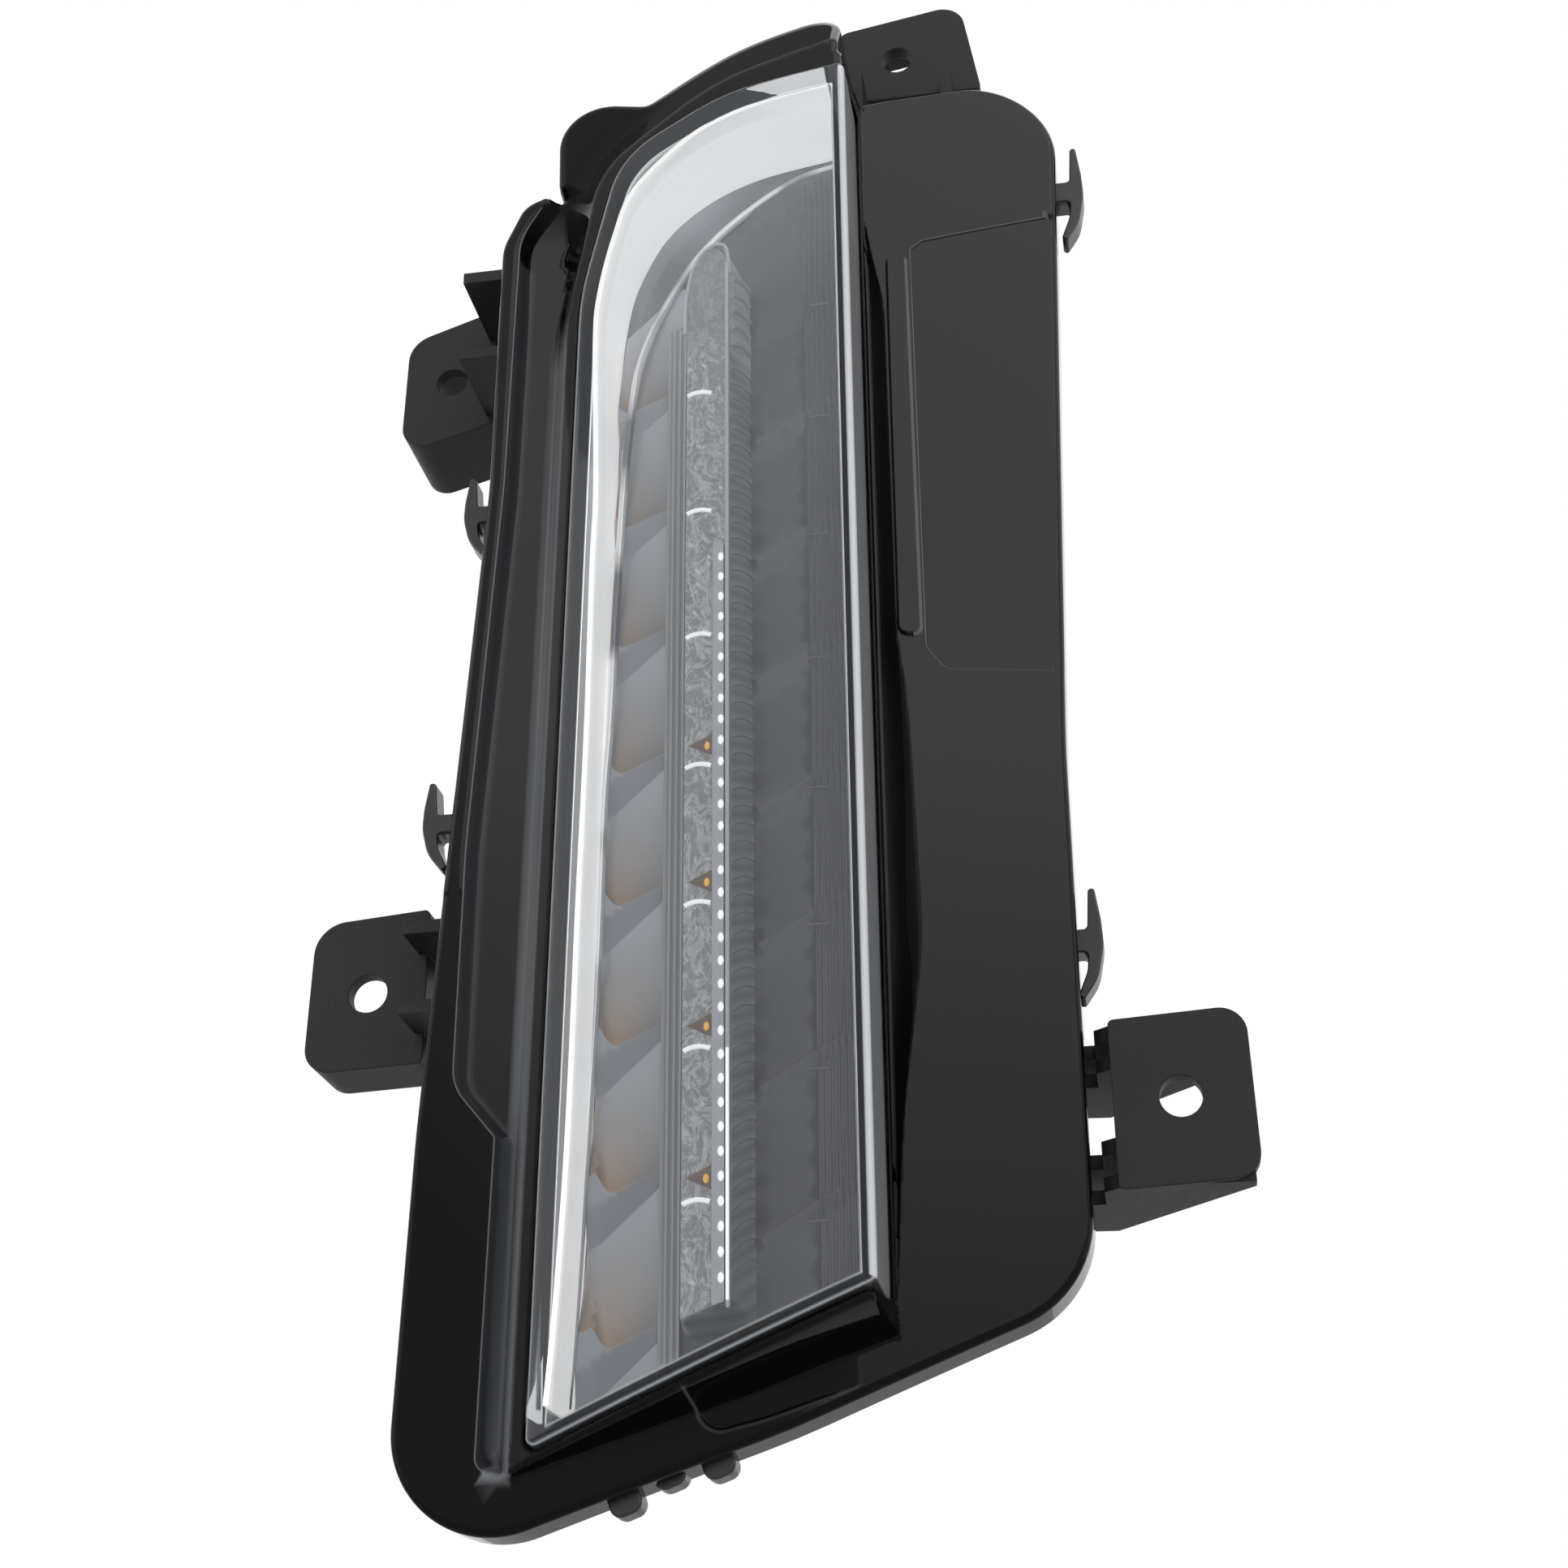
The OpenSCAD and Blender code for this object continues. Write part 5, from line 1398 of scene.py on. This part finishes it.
class LAMP_OT_reflector(Operator):
    """Make the reflector: its row of scooped cells, the cove above them and the bright bead"""

    bl_idname = "lamp.reflector"
    bl_label = "Reflector"

    def execute(self, context):
        piece(reflector_mesh(), reflector_metal(), replace=["reflector"])
        piece(cove_mesh(), bright_cove())
        trim = smooth_path(TRIM_LINE, 240)
        path = [(x - 0.3, FLOOR_Y - 2.7 + 2.2 * float(ramp((z - 88) / 25)), z) for x, z in trim]
        piece(tube("trim_bead", path, sizes().bead_radius, chrome_bead_painted_reflection()))
        return {"FINISHED"}


class LAMP_OT_inner_bezel(Operator):
    """Make the dark plate right of the bar, with the short ticks across its fine lines"""

    bl_idname = "lamp.inner_bezel"
    bl_label = "Inner bezel"

    def execute(self, context):
        piece(inner_bezel_mesh(), inner_bezel_plastic(), replace=["inner_bezel"])
        pale = plain_finish("line_grey", (0.2, 0.205, 0.215), 0.4, 0.0, 0.1, 900)
        ticks = row("plate_ticks", arc_shape, CELLS, in_frame(4.7, FLOOR_Y - 1.3, 105.0), (-0.00048, 0.0, -0.0255),
                    pale, Middle=(0.0018, 0.0, 0.0001), End=(0.0036, 0.0, 0.0), Radius=0.00015)
        piece(ticks)
        return {"FINISHED"}


class LAMP_OT_light_bar(Operator):
    """Make the clear bar, its flange, the white arcs and painted amber glints in it and the ribs on its flank"""

    bl_idname = "lamp.light_bar"
    bl_label = "Light bar"

    def execute(self, context):
        size = sizes()
        piece(bar_mesh(), bar_texture(), replace=["light_bar"])
        piece(flange_mesh(), clear_with_painted_flute_highlights())
        pale = plain_finish("pale_edge", (0.6, 0.605, 0.62), 0.25, 0.0, 0.1, 300)
        piece(edge_strip_mesh(), pale)
        # Painted light: the white arcs also glow a little
        white = plain_finish("arc_white_painted_glow", (0.93, 0.93, 0.92), 0.3, 0.0, 0.02, 300, 0.00001, 0.5)
        drop = (0.0, 0.0, -size.cell_pitch)
        arcs = row("bar_arcs", arc_shape, CELLS - 1, in_frame(-16.3, BAR_FRONT - 0.05, TICK_TOP - 0.6), drop, white,
                   Middle=(0.0019, 0.0, 0.0012), End=(0.0044, 0.0, 0.0003), Radius=size.tick_radius)
        piece(arcs)
        # Painted highlight: the amber glints glow a little
        amber = plain_finish("amber_painted_glint", tuple(colours().amber), 0.25, 0.0, 0.1, 900, 0.00002, 0.25)
        fourth = TICK_TOP - 3 * mm(size.cell_pitch)
        glow = row("amber_glints", bead_shape, AMBERS, in_frame(-12.5, BAR_FRONT - 0.15, fourth + 3.4), drop, amber,
                   Size=(0.0005, 0.00025, 0.0008))
        piece(glow)
        brown = plain_finish("amber_facet", tuple(colours().amber_facet), 0.25, 0.0, 0.5, 500, 0.00002)
        facets = row("amber_facets", facet_shape, AMBERS, in_frame(-13.0, BAR_FRONT + 0.05, fourth + 3.6), drop,
                     brown, Size=(0.0027, 0.0002, 0.0023))
        piece(facets)
        rib = plain_finish("rib_clear", (0.2, 0.21, 0.225), 0.2, 0.0, 0.1, 300)
        arch = [(x, BAR_FRONT + 0.1, z) for x, z in smooth_path(BAR_ARCH, 40)]
        piece(tube("bar_arch", arch, 0.00035, pale))
        ribs = row("flank_ribs", arc_shape, 52, in_frame(-8.4, -2.4, -84.0), (0.0, 0.0, size.rib_pitch), rib,
                   Middle=(0.0007, 0.006, 0.0038), End=(0.0016, 0.0125, 0.0052), Radius=0.00016)
        piece(ribs)
        # Painted highlight: the ribs at the top of the flank are lighter than the others
        bright = plain_finish("rib_painted_highlight", (0.5, 0.52, 0.56), 0.2, 0.0, 0.1, 300)
        top = row("top_ribs", arc_shape, 5, in_frame(-8.4, -2.6, 90.0), (0.0, 0.0, size.rib_pitch * 1.1), bright,
                  Middle=(0.0007, 0.006, 0.0042), End=(0.0014, 0.0105, 0.0046), Radius=0.0006)
        piece(top)
        return {"FINISHED"}


class LAMP_OT_light_guide(Operator):
    """Make the light guide's rail and its row of prisms, each with a painted white highlight"""

    bl_idname = "lamp.light_guide"
    bl_label = "Light guide"

    def execute(self, context):
        size = sizes()
        rail = plain_finish("guide_clear", (0.55, 0.56, 0.59), 0.18, 0.0, 0.12, 260)
        piece(rail_mesh(), rail, replace=["light_guide"])
        # Painted highlight: the prisms' white glows a little
        white = plain_finish("prism_painted_highlight", (0.96, 0.96, 0.97), 0.2, 0.0, 0.02, 300, 0.00001, 0.6)
        half = (size.dot_width / 2, 0.0004, size.dot_height / 2)
        count = int(PRISM_ROW * MM / size.dot_pitch) + 1
        dots = row("guide_prisms", bead_shape, count, in_frame(*PRISM_TOP), (0.0, 0.0, -size.dot_pitch), white,
                   Size=half)
        piece(dots)
        # Painted highlight: a bright line low on the bar's edge
        low_line = [(-8.95, -4.95, z) for z in np.linspace(-48.2, -88.6, 12)]
        piece(tube("bar_bright_line", low_line, size.dot_width * 0.28, white))
        return {"FINISHED"}


class LAMP_OT_frame_finishes(Operator):
    """Give every CAD node that is shown as it is the finish of its material slot"""

    bl_idname = "lamp.frame_finishes"
    bl_label = "Housing and fixings"

    def execute(self, context):
        finishes = frame_finishes()
        slots = {part["node"]: part["material_slot"] for part in frame["record"]["subparts"]}
        for name, node in frame["nodes"].items():
            if not node.hide_render:
                node.data.materials.clear()
                node.data.materials.append(finishes[slots[name]])
        return {"FINISHED"}


# Stage

CAMERA_PITCH, CAMERA_YAW, CAMERA_ROLL = math.radians(25.2), math.radians(9.0), math.radians(-0.7)
# The picture is 1932 pixels wide, the focal length 2950 pixels, and the lamp 7.25 pixels to the millimetre
PICTURE, FOCAL_PIXELS, LAMP_PIXELS = 1932, 2950, 7.25
CAMERA_DISTANCE = FOCAL_PIXELS / LAMP_PIXELS
SENSOR = 36
FOCAL = SENSOR * FOCAL_PIXELS / PICTURE
FLOOR_Z, FLOOR_HALF = -0.32, 3.0
MIDDLE = Vector((-0.06, 0.0, 0.055))


def make_camera(scene):
    level_forward = Vector((-math.sin(CAMERA_YAW), math.cos(CAMERA_YAW), 0))
    forward = level_forward * math.cos(CAMERA_PITCH) + Vector((0, 0, math.sin(CAMERA_PITCH)))
    flat = Vector((math.cos(CAMERA_YAW), math.sin(CAMERA_YAW), 0))
    rise = flat.cross(forward)
    right = math.cos(CAMERA_ROLL) * flat + math.sin(CAMERA_ROLL) * rise
    up = math.cos(CAMERA_ROLL) * rise - math.sin(CAMERA_ROLL) * flat
    data = bpy.data.cameras.new("camera")
    data.sensor_width = SENSOR
    data.lens = FOCAL
    data.clip_start, data.clip_end = 0.01, 20
    camera = bpy.data.objects.new("camera", data)
    scene.collection.objects.link(camera)
    place = (-forward * CAMERA_DISTANCE - Vector(EAR_HOLE.tolist())) * MM
    camera.matrix_world = Matrix.Translation(place) @ Matrix((right, up, -forward)).transposed().to_4x4()
    scene.camera = camera


def make_world(scene):
    """Soft light all round, and plain white where the camera, a mirror or glass looks at it."""
    world = bpy.data.worlds.new("studio")
    world.use_nodes = True
    scene.world = world
    tree = Tree(world.node_tree)
    tree.tree.nodes.clear()
    path = tree.node("ShaderNodeLightPath")
    rays = (Val(tree.tree, path.outputs[name]) for name in ("Is Camera Ray", "Is Glossy Ray", "Is Transmission Ray"))
    soft = tree.val("ShaderNodeBackground", Color=(0.98, 0.99, 1.0, 1.0), Strength=0.55)
    white = tree.val("ShaderNodeBackground", Color=(1.0, 1.0, 1.0, 1.0), Strength=1.0)
    mixed = tree.blend(sum(rays, 0.0).clamped(), soft, white)
    tree.tree.links.new(mixed.socket, tree.node("ShaderNodeOutputWorld").inputs[0])


def make_lamp(scene, name, place, size, glow):
    """A soft box whose face shines with the given strength, where 1 is as bright as the white surroundings."""
    light = bpy.data.lights.new(name, "AREA")
    light.shape = "RECTANGLE"
    light.size, light.size_y = size
    light.energy = glow * math.pi * size[0] * size[1]
    obj = bpy.data.objects.new(name, light)
    scene.collection.objects.link(obj)
    obj.location = place
    obj.rotation_euler = (MIDDLE - Vector(place)).to_track_quat("-Z", "Y").to_euler()


class LAMP_OT_stage(Operator):
    """Make the camera, the soft light and the floor"""

    bl_idname = "lamp.stage"
    bl_label = "Stage"

    def execute(self, context):
        scene = context.scene
        make_camera(scene)
        make_world(scene)
        make_lamp(scene, "key_lamp", (0.75, -1.05, 0.85), (1.5, 1.5), 1.15)
        make_lamp(scene, "fill_lamp", (-1.2, -0.8, 0.3), (1.2, 1.4), 1.0)
        corners = [(u * FLOOR_HALF, v * FLOOR_HALF, FLOOR_Z) for u, v in ((-1, -1), (1, -1), (1, 1), (-1, 1))]
        mesh = bpy.data.meshes.new("floor")
        mesh.from_pydata(corners, [], [(0, 1, 2, 3)])
        floor = bpy.data.objects.new("floor", mesh)
        scene.collection.objects.link(floor)
        mesh.materials.append(plain_finish("floor", tuple(colours().floor), 0.7, 0.0, 0.01, 5))
        scene.view_settings.view_transform = "Standard"
        return {"FINISHED"}


class LAMP_PT_panel(Panel):
    """The lamp's sizes, colours and steps"""

    bl_idname = "LAMP_PT_panel"
    bl_label = "Daytime running light"
    bl_space_type = "VIEW_3D"
    bl_region_type = "UI"
    bl_category = "Lamp"

    def draw(self, context):
        layout = self.layout
        for step in STEPS:
            layout.operator(step.bl_idname)
        for group in (context.scene.lamp_sizes, context.scene.lamp_colours):
            box = layout.box()
            for name in group.__annotations__:
                box.prop(group, name)


STEPS = (LAMP_OT_stage, LAMP_OT_bezel, LAMP_OT_clips, LAMP_OT_lens, LAMP_OT_white_band, LAMP_OT_reflector,
         LAMP_OT_inner_bezel, LAMP_OT_light_bar, LAMP_OT_light_guide, LAMP_OT_frame_finishes)
CLASSES = (LampSizes, LampColours, *STEPS, LAMP_PT_panel)


def register():
    for cls in CLASSES:
        bpy.utils.register_class(cls)
    bpy.types.Scene.lamp_sizes = PointerProperty(type=LampSizes)
    bpy.types.Scene.lamp_colours = PointerProperty(type=LampColours)


def unregister():
    del bpy.types.Scene.lamp_colours
    del bpy.types.Scene.lamp_sizes
    for cls in reversed(CLASSES):
        bpy.utils.unregister_class(cls)


def main():
    register()
    bpy.ops.lamp.stage()
    bpy.ops.lamp.bezel()
    bpy.ops.lamp.clips()
    bpy.ops.lamp.lens()
    bpy.ops.lamp.white_band()
    bpy.ops.lamp.reflector()
    bpy.ops.lamp.inner_bezel()
    bpy.ops.lamp.light_bar()
    bpy.ops.lamp.light_guide()
    bpy.ops.lamp.frame_finishes()


if __name__ == "__main__":
    main()
